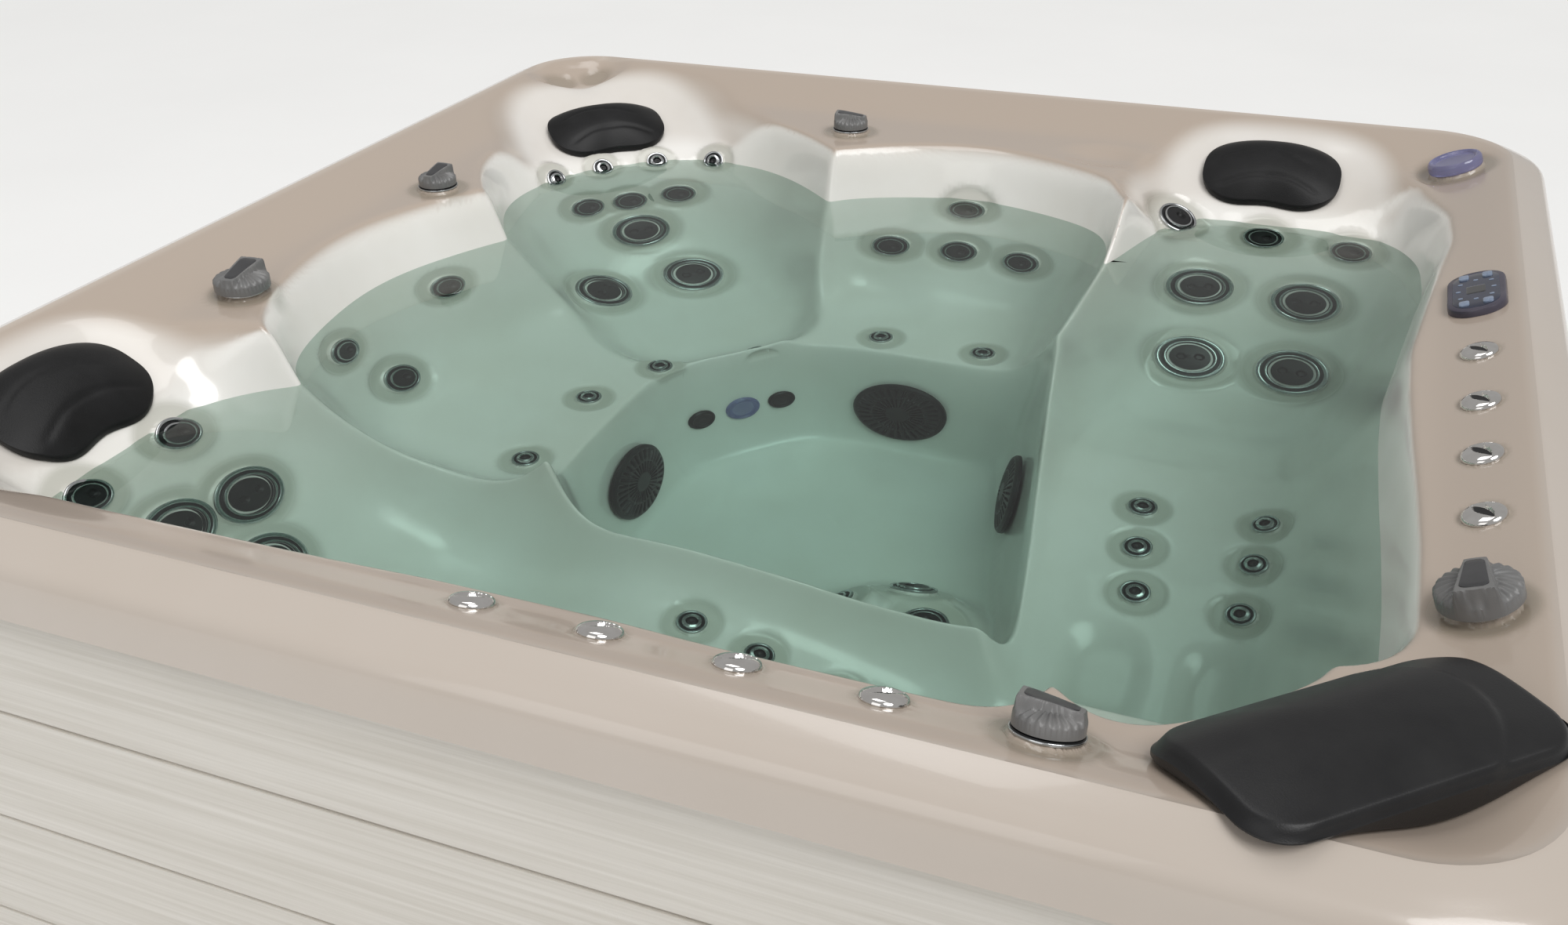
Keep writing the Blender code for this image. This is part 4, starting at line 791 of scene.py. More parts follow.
@dataclass(frozen=True)
class Headrest(Hollow):
    """A sloping dish above the water, which carries a pillow."""

    half: tuple[float, float]
    power: float
    low: float
    rise: float
    wall: float
    ease: float
    start: float

    def height(self, x: Array, y: Array, basin: "Basin") -> Array:
        """Gives the dish's height over the plan.

        Args:
            x: Places along X.
            y: Places along Y.
            basin: The shell that it lies in.

        Returns:
            The heights.
        """
        u, v = self.local(x, y, basin.rim_half)
        d = self.past_outline(u, v, [share * basin.rim_half for share in self.half], self.power)
        a = math.radians(self.back)
        along = x * math.cos(a) + y * math.sin(a) - self.start * basin.rim_half
        plane = basin.rim_z - self.low * basin.well_depth + self.rise * along
        return plane + self.wall * soft_plus(d, self.ease * basin.rim_half)


@dataclass(frozen=True)
class Recess:
    """A round dish sunk round a fitting: level under the fitting, with a soft outer edge."""

    place: Matrix
    seat: float                   # radius that the fitting covers
    reach: float                  # radius of the dish
    depth: float

    def sink(self, points: Array) -> tuple[Array, Array]:
        """Presses the dish into the shell's points.

        Args:
            points: The shell's points, one a row.

        Returns:
            The points moved, and how far each lies inside the dish from 0 to 1.
        """
        back = np.array(self.place.inverted())
        own = points @ back[:3, :3].T + back[:3, 3]
        away = np.hypot(own[:, 0], own[:, 1])
        near = np.abs(own[:, 2]) < self.reach
        deep = 1 - smoothstep(self.reach * 0.20, self.reach * 0.75, np.abs(own[:, 2]))
        inside = (1 - smoothstep(self.reach * 0.88, self.reach * 1.18, away)) * near * deep
        floor = -self.depth * smoothstep(self.seat * 0.98, self.seat * 1.06, away) - GAP
        own[:, 2] += inside * np.maximum(floor - own[:, 2], -self.depth)
        there = np.array(self.place)
        ring = inside * smoothstep(self.seat * 0.98, self.seat * 1.04, away)
        return own @ there[:3, :3].T + there[:3, 3], ring


@dataclass
class Basin:
    """The formed shell's water side as a height over the plan, where fittings find their seats."""

    rim_half: float = 1.0         # half the width between the rim's highest lines
    rim_z: float = 0.88
    well_depth: float = 0.74
    corner_r: float = 0.13
    bevel: float = 0.11           # width of the slope inside the crease
    fall: float = 0.046           # and its drop
    rim_ease: float = 0.012
    blend: float = 0.035          # rounding where two hollows meet
    round_r: float = 0.007        # rounding of the crests in plan
    thickness: float = 0.008
    middle: tuple[float, float] = (0.04, -0.02)
    seats: dict[str, Seat] = field(default_factory=lambda: {
        "corner_seat": Seat((-0.40, 0.37), 135, (0.265, 0.218), 3.2, 0.709, (2.3, 4.0), 0.070),
        "back_seat": Seat((0.06, 0.385), 90, (0.205, 0.232), 4.5, 0.615, (2.4, 4.5), 0.045),
        "left_seat": Seat((-0.46, -0.06), 173, (0.222, 0.315), 3.6, 0.585, (2.4, 4.2), 0.045),
    })
    loungers: dict[str, Lounger] = field(default_factory=lambda: {
        "right_lounger": Lounger(
            (0.615, 0.0), 90, 5.2, 0.026, (-0.60, 0.80),
            (-0.60, -0.45, -0.32, -0.20, -0.05, 0.08, 0.20, 0.31, 0.42, 0.51, 0.64, 0.755, 0.86, 1.0),
            (0.795, 0.79, 0.75, 0.70, 0.655, 0.65, 0.70, 0.743, 0.72, 0.635, 0.44, 0.19, 0.125, 0.02),
            (-0.16, -0.16, -0.16, -0.16, -0.16, -0.16, -0.165, -0.17, -0.185, -0.21, -0.235, -0.245,
             -0.25, -0.25),
            (0.205, 0.21, 0.225, 0.235, 0.25, 0.255, 0.25, 0.225, 0.19, 0.175, 0.17, 0.165, 0.16, 0.16)),
        "near_lounger": Lounger(
            (0.0, -0.66), 180, 6.0, 0.026, (-0.47, 0.82),
            (-0.47, -0.34, -0.22, -0.10, 0.02, 0.10, 0.20, 0.31, 0.42, 0.54, 0.66, 0.77, 0.88, 1.0),
            (0.785, 0.78, 0.735, 0.685, 0.655, 0.655, 0.70, 0.74, 0.72, 0.63, 0.44, 0.20, 0.125, 0.03),
            (0.14, 0.14, 0.145, 0.145, 0.15, 0.15, 0.15, 0.15, 0.155, 0.17, 0.195, 0.205, 0.20, 0.19),
            (-0.24, -0.245, -0.25, -0.25, -0.25, -0.25, -0.25, -0.26, -0.27, -0.27, -0.25, -0.22,
             -0.19, -0.17)),
    })
    bay: Seat = Seat((0.6446, -0.6949), -47, (0.10, 0.115), 4.0, 0.297, (5.0, 5.0), 0.020)
    headrests: dict[str, Headrest] = field(default_factory=lambda: {
        "corner_dish": Headrest((-0.70, 0.70), 135, (0.26, 0.21), 2.6, 0.19, 0.37, 1.6, 0.04, 0.967),
        "back_dish": Headrest((0.61, 0.80), 90, (0.17, 0.20), 3.0, 0.19, 0.46, 1.6, 0.035, 0.755),
        "near_dish": Headrest((-0.82, -0.655), 180, (0.15, 0.185), 3.0, 0.19, 0.50, 1.6, 0.035, 0.765),
    })
    well_sides: tuple[tuple[float, float], ...] = (
        (135, 0.228), (90, 0.238), (11, 0.318), (270, 0.368), (180, 0.272), (225, 0.40))
    well_slope: float = 7.5
    well_ease: float = 0.012
    dome_at: tuple[float, float] = (0.25, -0.29)
    dome_half: tuple[float, float] = (0.15, 0.12)
    dome_rise: float = 0.15
    lift_passes: int = 8          # to lift a fitting until it clears the shell
    least_up: float = 0.2         # what a steep wall counts as upward in that
    halvings: int = 40            # to find a line past the crease

    def past_rim(self, x: Array, y: Array) -> Array:
        """Gives the distance outside the crease, negative inside.

        Args:
            x: Places along X.
            y: Places along Y.

        Returns:
            The distances.
        """
        flat = self.rim_half - self.corner_r
        qx, qy = np.abs(x) - flat, np.abs(y) - flat
        outside = np.hypot(np.maximum(qx, 0), np.maximum(qy, 0))
        return outside + np.minimum(np.maximum(qx, qy), 0) - self.corner_r

    def rim_height(self, x: Array, y: Array) -> Array:
        """Gives the height of the rim's deck and of the slope up to its crease.

        Args:
            x: Places along X.
            y: Places along Y.

        Returns:
            The heights.
        """
        inside = -self.past_rim(x, y)
        slope = self.fall / self.bevel
        return (self.rim_z - self.fall + soft_plus(self.bevel - inside, self.rim_ease) * slope
                - soft_plus(-inside, self.rim_ease) * slope)

    def well_height(self, x: Array, y: Array) -> Array:
        """Gives the height of the footwell's floor and walls.

        Args:
            x: Places along X.
            y: Places along Y.

        Returns:
            The heights.
        """
        ease = self.well_ease * self.rim_half
        past = [x * math.cos(math.radians(b)) + y * math.sin(math.radians(b)) - d * self.rim_half
                for b, d in self.well_sides]
        outside = ease * 2 * np.logaddexp.reduce([p / (ease * 2) for p in past], axis=0)
        return self.rim_z - self.well_depth + self.well_slope * soft_plus(outside, ease)

    def formed(self, x: Array, y: Array) -> Array:
        """Gives the height of the shell as the part's source has it.

        Args:
            x: Places along X.
            y: Places along Y.

        Returns:
            The heights.
        """
        z = self.rim_height(x, y)
        for hollow in (*self.headrests.values(), *self.loungers.values(), *self.seats.values()):
            z = soft_min(z, hollow.height(x, y, self), self.blend)
        z = soft_min(z, self.bay.height(x, y, self), self.blend)
        z = soft_min(z, self.well_height(x, y), self.blend)
        u = (x - self.dome_at[0] * self.rim_half) / (self.dome_half[0] * self.rim_half)
        v = (y - self.dome_at[1] * self.rim_half) / (self.dome_half[1] * self.rim_half)
        dome = (self.rim_z - self.well_depth
                + self.dome_rise * self.well_depth * np.exp(-(u ** 2 + v ** 2) ** 2))
        return -soft_min(-z, -dome, self.blend / 2)

    def surface(self, x: Array, y: Array) -> Array:
        """Gives the height of the shell with its crests rounded and its smaller moulded marks.

        Args:
            x: Places along X.
            y: Places along Y.

        Returns:
            The heights.
        """
        turns = even_turns(6)
        z = sum(self.formed(x + self.round_r * math.cos(a), y + self.round_r * math.sin(a)) for a in turns)
        z = (z + self.formed(x, y)) / (len(turns) + 1)
        for mark in MARKS:
            z = z - mark.depth_at(x / self.rim_half, y / self.rim_half)
        return z

    def normal(self, x: float, y: float) -> Vector:
        """Gives the direction that the shell faces at a place in plan.

        Args:
            x: The place along X.
            y: The place along Y.

        Returns:
            The direction.
        """
        step = MILLIMETRE
        east, west = self.formed(np.array([x + step, x - step]), np.array([y, y]))
        north, south = self.formed(np.array([x, x]), np.array([y + step, y - step]))
        return Vector(((west - east) / (2 * step), (south - north) / (2 * step), 1)).normalized()

    def above(self, x: float, y: float) -> tuple[Vector, Vector]:
        """Finds a place on the shell by its shares of the rim's half width, and how it faces there."""
        x, y = x * self.rim_half, y * self.rim_half
        return Vector((x, y, float(self.formed(np.array(x), np.array(y))))), self.normal(x, y)

    def level(self, at: tuple[float, float], bearing: float, depth: float) -> tuple[Vector, Vector]:
        """Finds where a level line meets the shell.

        Args:
            at: Where it starts, in shares of the rim's half width.
            bearing: Its bearing in degrees.
            depth: How far it lies below the crease.

        Returns:
            The place and the direction that the shell faces there.
        """
        a = math.radians(bearing)
        reach = np.arange(0, 1.5 * self.rim_half, MILLIMETRE)
        x = at[0] * self.rim_half + reach * math.cos(a)
        y = at[1] * self.rim_half + reach * math.sin(a)
        hit = int(np.argmax(self.formed(x, y) > self.rim_z - depth))
        return Vector((x[hit], y[hit], self.rim_z - depth)), self.normal(x[hit], y[hit])

    def seat(self, point: Vector, normal: Vector, radius: float) -> Matrix:
        """Gives a frame on the shell, lifted until a flat ring clears it.

        Args:
            point: A place on the shell.
            normal: The direction that the shell faces there.
            radius: The ring's radius.

        Returns:
            The frame, with Z along the normal.
        """
        turn = normal.to_track_quat("Z", "Y").to_matrix().to_4x4()
        spots = np.array([point + turn @ spot for spot in circle(radius, 0, 16)])
        rise = np.zeros(len(spots))
        for _ in range(self.lift_passes):
            x, y, z = (spots + rise[:, None] * np.array(normal)).T
            rise += (self.formed(x, y) - z) * max(normal.z, self.least_up)
        lift = max(0.0, float(rise.max()))
        return Matrix.Translation(point + normal * (lift + GAP)) @ turn

    def reach(self, turns: Array, past: float) -> Array:
        """Gives the distances from the shell's middle to the line that lies past the crease.

        Args:
            turns: The bearings that they are asked for.
            past: How far past the crease the line lies.

        Returns:
            The distances.
        """
        cx, cy = (share * self.rim_half for share in self.middle)
        near, far = np.zeros_like(turns), np.full_like(turns, 2 * self.rim_half)
        for _ in range(self.halvings):
            mid = (near + far) / 2
            inside = self.past_rim(cx + mid * np.cos(turns), cy + mid * np.sin(turns)) < past
            near, far = np.where(inside, mid, near), np.where(inside, far, mid)
        return far

    def polar(self, sectors: int, rings: int) -> tuple[Array, Array]:
        """Gives a plan grid from the shell's middle out to the crease.

        Args:
            sectors: Points round.
            rings: Points outward.

        Returns:
            The grid's x and its y.
        """
        cx, cy = (share * self.rim_half for share in self.middle)
        turns = even_turns(sectors)
        shares = np.linspace(0, 1, rings + 1)[1:, None]
        reach = self.reach(turns, 0)
        return cx + shares * reach * np.cos(turns), cy + shares * reach * np.sin(turns)

    @staticmethod
    def slopes(height: Callable[[Array, Array], Array], x: Array, y: Array,
               step: float = MILLIMETRE) -> tuple[Array, Array]:
        """Gives how fast a height rises along X and along Y, from a step to each side."""
        return ((height(x + step, y) - height(x - step, y)) / (2 * step),
                (height(x, y + step) - height(x, y - step)) / (2 * step))

    def offset(self, x: Array, y: Array, deep: float) -> tuple[Array, Array, Array]:
        """Gives points that lie a depth into the shell, square to its surface.

        Args:
            x: Places in plan.
            y: Places in plan.
            deep: The depth.

        Returns:
            The points' x, y and z.
        """
        slope_x, slope_y = self.slopes(self.surface, x, y)
        size = np.sqrt(slope_x ** 2 + slope_y ** 2 + 1) / deep
        return x + slope_x / size, y + slope_y / size, self.surface(x, y) - 1 / size

    def facing(self, x: Array, y: Array) -> Array:
        """Gives the directions that the marked surface faces, one a row.

        Args:
            x: Places along X.
            y: Places along Y.

        Returns:
            The directions.
        """
        slope_x, slope_y = self.slopes(self.surface, x, y)
        size = np.sqrt(slope_x ** 2 + slope_y ** 2 + 1)
        return np.stack((-slope_x / size, -slope_y / size, 1 / size), axis=-1)

    def facing_up(self, x: Array, y: Array) -> Array:
        """Gives the upward part of the direction that the shell faces."""
        slope_x, slope_y = self.slopes(self.formed, x, y, 5 * MILLIMETRE)
        return 1 / np.sqrt(slope_x ** 2 + slope_y ** 2 + 1)


@dataclass(frozen=True)
class Mark:
    """A small moulded mark: an oval dish, sunk or raised, in shares of the rim's half width."""

    at: tuple[float, float]
    half: tuple[float, float]
    bearing: float
    depth: float
    power: float = 2.0
    edge: float = 0.35            # width of its soft edge over its size
    dull_shade: float = 0.0             # how much of the recesses' roughness and painted shade it has

    def depth_at(self, x: Array, y: Array) -> Array:
        """Gives how deep the mark is at places in plan.

        Args:
            x: Places along X, in shares of the rim's half width.
            y: Places along Y, likewise.

        Returns:
            The depths.
        """
        a = math.radians(self.bearing)
        dx, dy = x - self.at[0], y - self.at[1]
        u, v = dx * math.cos(a) + dy * math.sin(a), -dx * math.sin(a) + dy * math.cos(a)
        out = (np.abs(u / self.half[0]) ** self.power + np.abs(v / self.half[1]) ** self.power) ** (
            1 / self.power)
        return self.depth * (1 - smoothstep(1 - self.edge, 1 + self.edge, out))


MARKS = (
    Mark((0.30, 0.79), (0.060, 0.045), 0, 0.014, edge=0.7),                   # bare dimple on the back rim
    Mark((-0.917, 0.917), (0.105, 0.042), 45, 0.010, power=3.0, edge=0.22),   # tray behind the corner seat
    Mark((-0.946, 0.888), (0.036, 0.024), 45, 0.008, edge=0.35, dull_shade=0.8),    # its two deeper ovals
    Mark((-0.888, 0.946), (0.036, 0.024), 45, 0.008, edge=0.35, dull_shade=0.8),
    Mark((0.545, -0.365), (0.050, 0.075), 0, 0.010, power=3.0, edge=0.35, dull_shade=0.3),    # heel hollows
    Mark((0.700, -0.365), (0.050, 0.075), 0, 0.010, power=3.0, edge=0.35, dull_shade=0.3),
)


@dataclass
class FormedShell:
    """The acrylic shell: a fine water side, a coarser dry side and the rolled lip between them."""

    basin: Basin
    sectors: int = 560
    rings: int = 190
    finest: float = 0.0042        # longest edge in a recess
    crest: float = 0.0030         # and across a crest, where neighbours turn by more than
    crest_turn: float = math.radians(11)
    longest: float = 0.014        # and on a steep wall
    splits: int = 3               # rounds of splitting its edges
    smoothings: int = 4
    lip: tuple[tuple[float, float], ...] = (
        (0.0, 0.0), (0.018, -0.0065), (0.036, -0.014), (0.056, -0.025), (0.066, -0.045), (0.070, -0.088))
    lip_painted_shade: float = 0.78        # how much of the rim's painted reflection and shade shows on the lip
    dish_painted_shade: float = 0.30       # and in the dishes under the pillows
    painted_shade_drops: tuple[float, float] = (0.13, 0.10)      # below the crease, where it starts and is full
    well_at: tuple[float, float] = (0.835, -0.855)
    well_r: float = 0.0763
    well_turn: float = math.radians(43) - math.pi
    bore: tuple[float, float] = (-0.52, 0.05)           # its foot and its top, from the crease
    slot: tuple[float, float, float, float] = (0.0652, -0.195, -0.1902, -0.0948)

    def lip_line(self) -> list[Vector]:
        """Gives the lip's water side as smooth points past the crease and below it."""
        return smooth_line([Vector(point) for point in self.lip], 4)[1:]

    def inner_lip(self) -> list[Vector]:
        """Gives the lip's dry side, a thickness in from the other.

        Returns:
            Its points past the crease and below it.
        """
        line = [Vector(point) for point in self.lip]
        made = []
        for before, here, after in zip(line, line[1:], line[2:] + [line[-1] * 2 - line[-2]]):
            along = (after - before).normalized()
            made.append(here + Vector((along.y, -along.x)) * self.basin.thickness)
        made[-1].y = line[-1].y
        return made

    def side(self, bm: BMesh, sectors: int, rings: int, lip: Sequence[Vector],
             dry: bool) -> list[list[BMVert]]:
        """Adds the rings of one side, from its middle to the lip's edge.

        Args:
            bm: The mesh to add to.
            sectors: Points round.
            rings: Points outward to the crease.
            lip: Points past the crease and below it.
            dry: Whether this is the dry side.

        Returns:
            The rings, the middle first.
        """
        basin = self.basin
        x, y = basin.polar(sectors, rings)
        cx, cy = (share * basin.rim_half for share in basin.middle)
        turns = even_turns(sectors)
        middle = (cx, cy, basin.rim_z - basin.well_depth - (basin.thickness if dry else 0))
        x, y, z = basin.offset(x, y, basin.thickness) if dry else (x, y, basin.surface(x, y))
        made = [[bm.verts.new(middle)]]
        made += [[bm.verts.new(point) for point in zip(*ring)] for ring in zip(x, y, z)]
        for past, drop in lip:
            reach = basin.reach(turns, past)
            made.append([bm.verts.new((cx + r * math.cos(a), cy + r * math.sin(a), basin.rim_z + drop))
                         for r, a in zip(reach, turns)])
        return made

    def open_edge(self, bm: BMesh) -> list[BMVert]:
        """Gives the vertices of the mesh's open edge, in order of their bearing.

        Args:
            bm: The water side.

        Returns:
            The vertices.
        """
        cx, cy = (share * self.basin.rim_half for share in self.basin.middle)
        rim = {vert for edge in bm.edges if edge.is_boundary for vert in edge.verts}
        return sorted(rim, key=lambda v: (math.atan2(v.co.y - cy, v.co.x - cx) + MILLIMETRE) % (2 * math.pi))

    def refine(self, bm: BMesh, recesses: Sequence[Recess]) -> None:
        """Splits the edges in the recesses and across crests until their shapes can be drawn.

        Args:
            bm: The water side.
            recesses: The dishes round the fittings.
        """
        spots = np.array([recess.place.translation for recess in recesses])
        wide = np.array([recess.reach * 1.2 for recess in recesses])
        for _ in range(self.splits):
            bm.verts.index_update()
            points = np.array([vert.co for vert in bm.verts])
            ends = np.array([[vert.index for vert in edge.verts] for edge in bm.edges])
            limit = np.full(len(points), self.longest)
            for spot, reach in zip(spots, wide):
                limit[np.linalg.norm(points - spot, axis=1) < reach] = self.finest
            limit[self.basin.past_rim(points[:, 0], points[:, 1]) > -GAP] = self.basin.rim_half
            size = np.linalg.norm(points[ends[:, 0]] - points[ends[:, 1]], axis=1)
            facing = self.basin.facing(points[:, 0], points[:, 1])
            bent = np.sum(facing[ends[:, 0]] * facing[ends[:, 1]], axis=1) < math.cos(self.crest_turn)
            inside = self.basin.past_rim(points[:, 0], points[:, 1]) < -self.basin.rim_ease
            bent &= (size > self.crest) & inside[ends].all(axis=1)
            long = [edge for edge, split in zip(bm.edges, bent | (size > limit[ends].max(axis=1))) if split]
            if not long:
                break
            made = bmesh.ops.subdivide_edges(bm, edges=long, cuts=1, use_grid_fill=True)
            fresh = [item for item in made["geom_inner"] if isinstance(item, BMVert)]
            x, y = np.array([vert.co.x for vert in fresh]), np.array([vert.co.y for vert in fresh])
            for vert, z in zip(fresh, self.basin.surface(x, y)):
                vert.co.z = z

    def tools(self) -> list[Object]:
        """Makes the bore of the filter well and the slot of its mouth, as cutters.

        Returns:
            The two cutters.
        """
        x, y = (share * self.basin.rim_half for share in self.well_at)
        frame = Matrix.Translation((x, y, self.basin.rim_z)) @ Matrix.Rotation(self.well_turn, 4, "Z")
        bore = bmesh.new()
        foot, top = self.bore
        lathe_into(bore, [(0, foot), (self.well_r, foot), (self.well_r, top), (0, top)], 48, frame)
        slot = bmesh.new()
        wide, far, low, high = self.slot
        corners = [slot.verts.new(frame @ Vector((u, v, w))) for w in (low, high)
                   for u, v in ((-wide, far), (wide, far), (wide, 0), (-wide, 0))]
        for face in ((3, 2, 1, 0), (4, 5, 6, 7), (0, 1, 5, 4), (1, 2, 6, 5), (2, 3, 7, 6), (3, 0, 4, 7)):
            slot.faces.new([corners[k] for k in face])
        return [add_object("well_bore", bore), add_object("mouth_slot", slot)]

    def build(self, recesses: Sequence[Recess]) -> Object:
        """Builds the shell, sinks its recesses and cuts the filter's openings.

        Args:
            recesses: The dishes round the fittings.

        Returns:
            The shell.
        """
        bm = bmesh.new()
        wet = self.side(bm, self.sectors, self.rings, self.lip_line(), False)
        join_rings(bm, wet)
        self.refine(bm, recesses)
        inner = [vert for vert in bm.verts
                 if self.basin.past_rim(vert.co.x, vert.co.y) < -self.basin.rim_ease]
        for _ in range(self.smoothings):
            bmesh.ops.smooth_vert(bm, verts=inner, factor=0.5, use_axis_x=True, use_axis_y=True,
                                  use_axis_z=True)
        edge = self.open_edge(bm)
        bm.verts.index_update()
        points = np.array([vert.co for vert in bm.verts])
        for recess in recesses:
            points, _ = recess.sink(points)
        for vert, co in zip(bm.verts, points):
            vert.co = co
        dry = self.side(bm, self.sectors // 2, self.rings // 2, self.inner_lip(), True)
        join_rings(bm, dry)
        join_rings(bm, [edge, dry[-1]])
        shell = add_piece("shell_formed", bm, ACRYLIC, nodes=["shell"])
        for tool in self.tools():
            carve(shell, tool)
        # marks the rim's painted reflection and shade, and the recesses' painted shade
        self.tint(shell.data, recesses)
        return shell

    def tint(self, mesh: Mesh, recesses: Sequence[Recess]) -> None:
        """Stores where the rim's painted reflection and shade lie, and where the recesses' painted shade and
        roughness lie.

        Args:
            mesh: The shell's mesh.
            recesses: The dishes round the fittings.
        """
        count = len(mesh.vertices)
        points = np.empty(count * 3)
        mesh.vertices.foreach_get("co", points)
        points = points.reshape(-1, 3)
        x, y, z = points.T
        # painted reflection and shade: upward flats high on the rim, and the lip, turn beige, less so in the
        # pillows' dishes
        flat = smoothstep(0.45, 0.88, self.basin.facing_up(x, y))
        high = smoothstep(*(self.basin.rim_z - drop for drop in self.painted_shade_drops), z)
        # painted shade in the recesses round the fittings and in the marks that carry it
        sunk = np.zeros(count)
        for recess in recesses:
            sunk = np.maximum(sunk, recess.sink(points.copy())[1])
        unit = self.basin.rim_half
        for mark in MARKS:
            sunk = np.maximum(sunk, mark.dull_shade * mark.depth_at(x / unit, y / unit) / mark.depth)
        rim = smoothstep(-0.01, 0.01, self.basin.past_rim(x, y))
        dish = np.ones(count)
        for rest in self.basin.headrests.values():
            half = [share * unit for share in rest.half]
            past = rest.past_outline(*rest.local(x, y, unit), half, rest.power)
            dish = np.minimum(dish, self.dish_painted_shade + (1 - self.dish_painted_shade) * smoothstep(-0.02, 0.03, past))
        tint = flat * high * dish * (1 - rim) + self.lip_painted_shade * rim
        for name, values in (("rim_painted_shade", tint), ("recess", sunk)):
            layer = mesh.attributes.new(name, "FLOAT", "POINT")
            layer.data.foreach_set("value", values.astype(np.float32))


@dataclass
class Pool:
    """The water: one closed body that fills the basin to its level."""

    basin: Basin
    level: float = 0.74
    bed: float = 0.0068           # how far it reaches into the shell, so that no air lies between
    sectors: int = 480
    rings: int = 160
    cells: int = 44               # cells along and across its flat top

    def build(self) -> Object:
        """Builds the water's bed on the shell and closes it with a flat top.

        Returns:
            The water.
        """
        basin = self.basin
        x, y = basin.polar(self.sectors, self.rings)
        x, y, z = basin.offset(x, y, self.bed)
        bm = bmesh.new()
        cx, cy = (share * basin.rim_half for share in basin.middle)
        bed = [[bm.verts.new((cx, cy, basin.rim_z - basin.well_depth - self.bed))]]
        bed += [[bm.verts.new(point) for point in zip(*ring)] for ring in zip(x, y, z)]
        above = basin.rim_z + self.bed
        top = [[bm.verts.new((*spot, above)) for spot in zip(x[-1], y[-1])], [bm.verts.new((cx, cy, above))]]
        join_rings(bm, bed + top)
        water = add_piece("water", bm, PoolWater(), slot="clear_lens")
        slab = bmesh.new()
        bmesh.ops.create_grid(slab, x_segments=self.cells, y_segments=self.cells, size=1.1 * basin.rim_half,
                              matrix=Matrix.Translation((0, 0, self.level)))
        lift = bmesh.ops.extrude_face_region(slab, geom=slab.faces[:])["geom"]
        bmesh.ops.translate(slab, verts=[item for item in lift if isinstance(item, BMVert)],
                            vec=(0, 0, above + self.bed - self.level))
        carve(water, add_object("air", slab))
        bm = bmesh.new()
        bm.from_mesh(water.data)
        deepest = min(bm.verts, key=lambda vert: vert.co.z)
        kept, edge = {deepest}, [deepest]
        while edge:
            edge = [vert for here in edge for link in here.link_edges
                    for vert in [link.other_vert(here)] if vert not in kept and not kept.add(vert)]
        bmesh.ops.delete(bm, geom=[vert for vert in bm.verts if vert not in kept], context="VERTS")
        for face in bm.faces:
            face.smooth = face.calc_center_median().z < self.level - GAP
        bm.to_mesh(water.data)
        bm.free()
        return water


# Fittings


class Kind(Enum):
    """The kinds of fitting that pass through the shell."""

    SMALL = "small"
    MEDIUM = "medium"
    LARGE = "large"
    FOUNTAIN = "fountain"
    VALVE = "valve"


@dataclass(frozen=True)
class Size:
    """Sizes of one kind of fitting."""

    radius: float
    reach: float                  # its recess over its radius
    depth: float                  # of its recess
    body: float                   # radius of what passes through the shell
    length: float                 # and its length behind it


SIZES = {
    Kind.SMALL: Size(0.022, 1.95, 0.0035, 0.0136, 0.030),
    Kind.MEDIUM: Size(0.037, 1.75, 0.0045, 0.0229, 0.034),
    Kind.LARGE: Size(0.061, 1.42, 0.0050, 0.0378, 0.048),
    Kind.FOUNTAIN: Size(0.025, 1.12, 0.0008, 0.0155, 0.040),
    Kind.VALVE: Size(0.036, 1.50, 0.0050, 0.024, 0.040),
}


@dataclass(frozen=True)
class Fitting:
    """One fitting: its kind, its frame on the shell, and the joint of what turns in it."""

    kind: Kind
    place: Matrix
    joint: str = ""

    def recess(self) -> Recess:
        """Gives the dish that the fitting stands in."""
        size = SIZES[self.kind]
        return Recess(self.place, size.radius, size.radius * size.reach, size.depth)


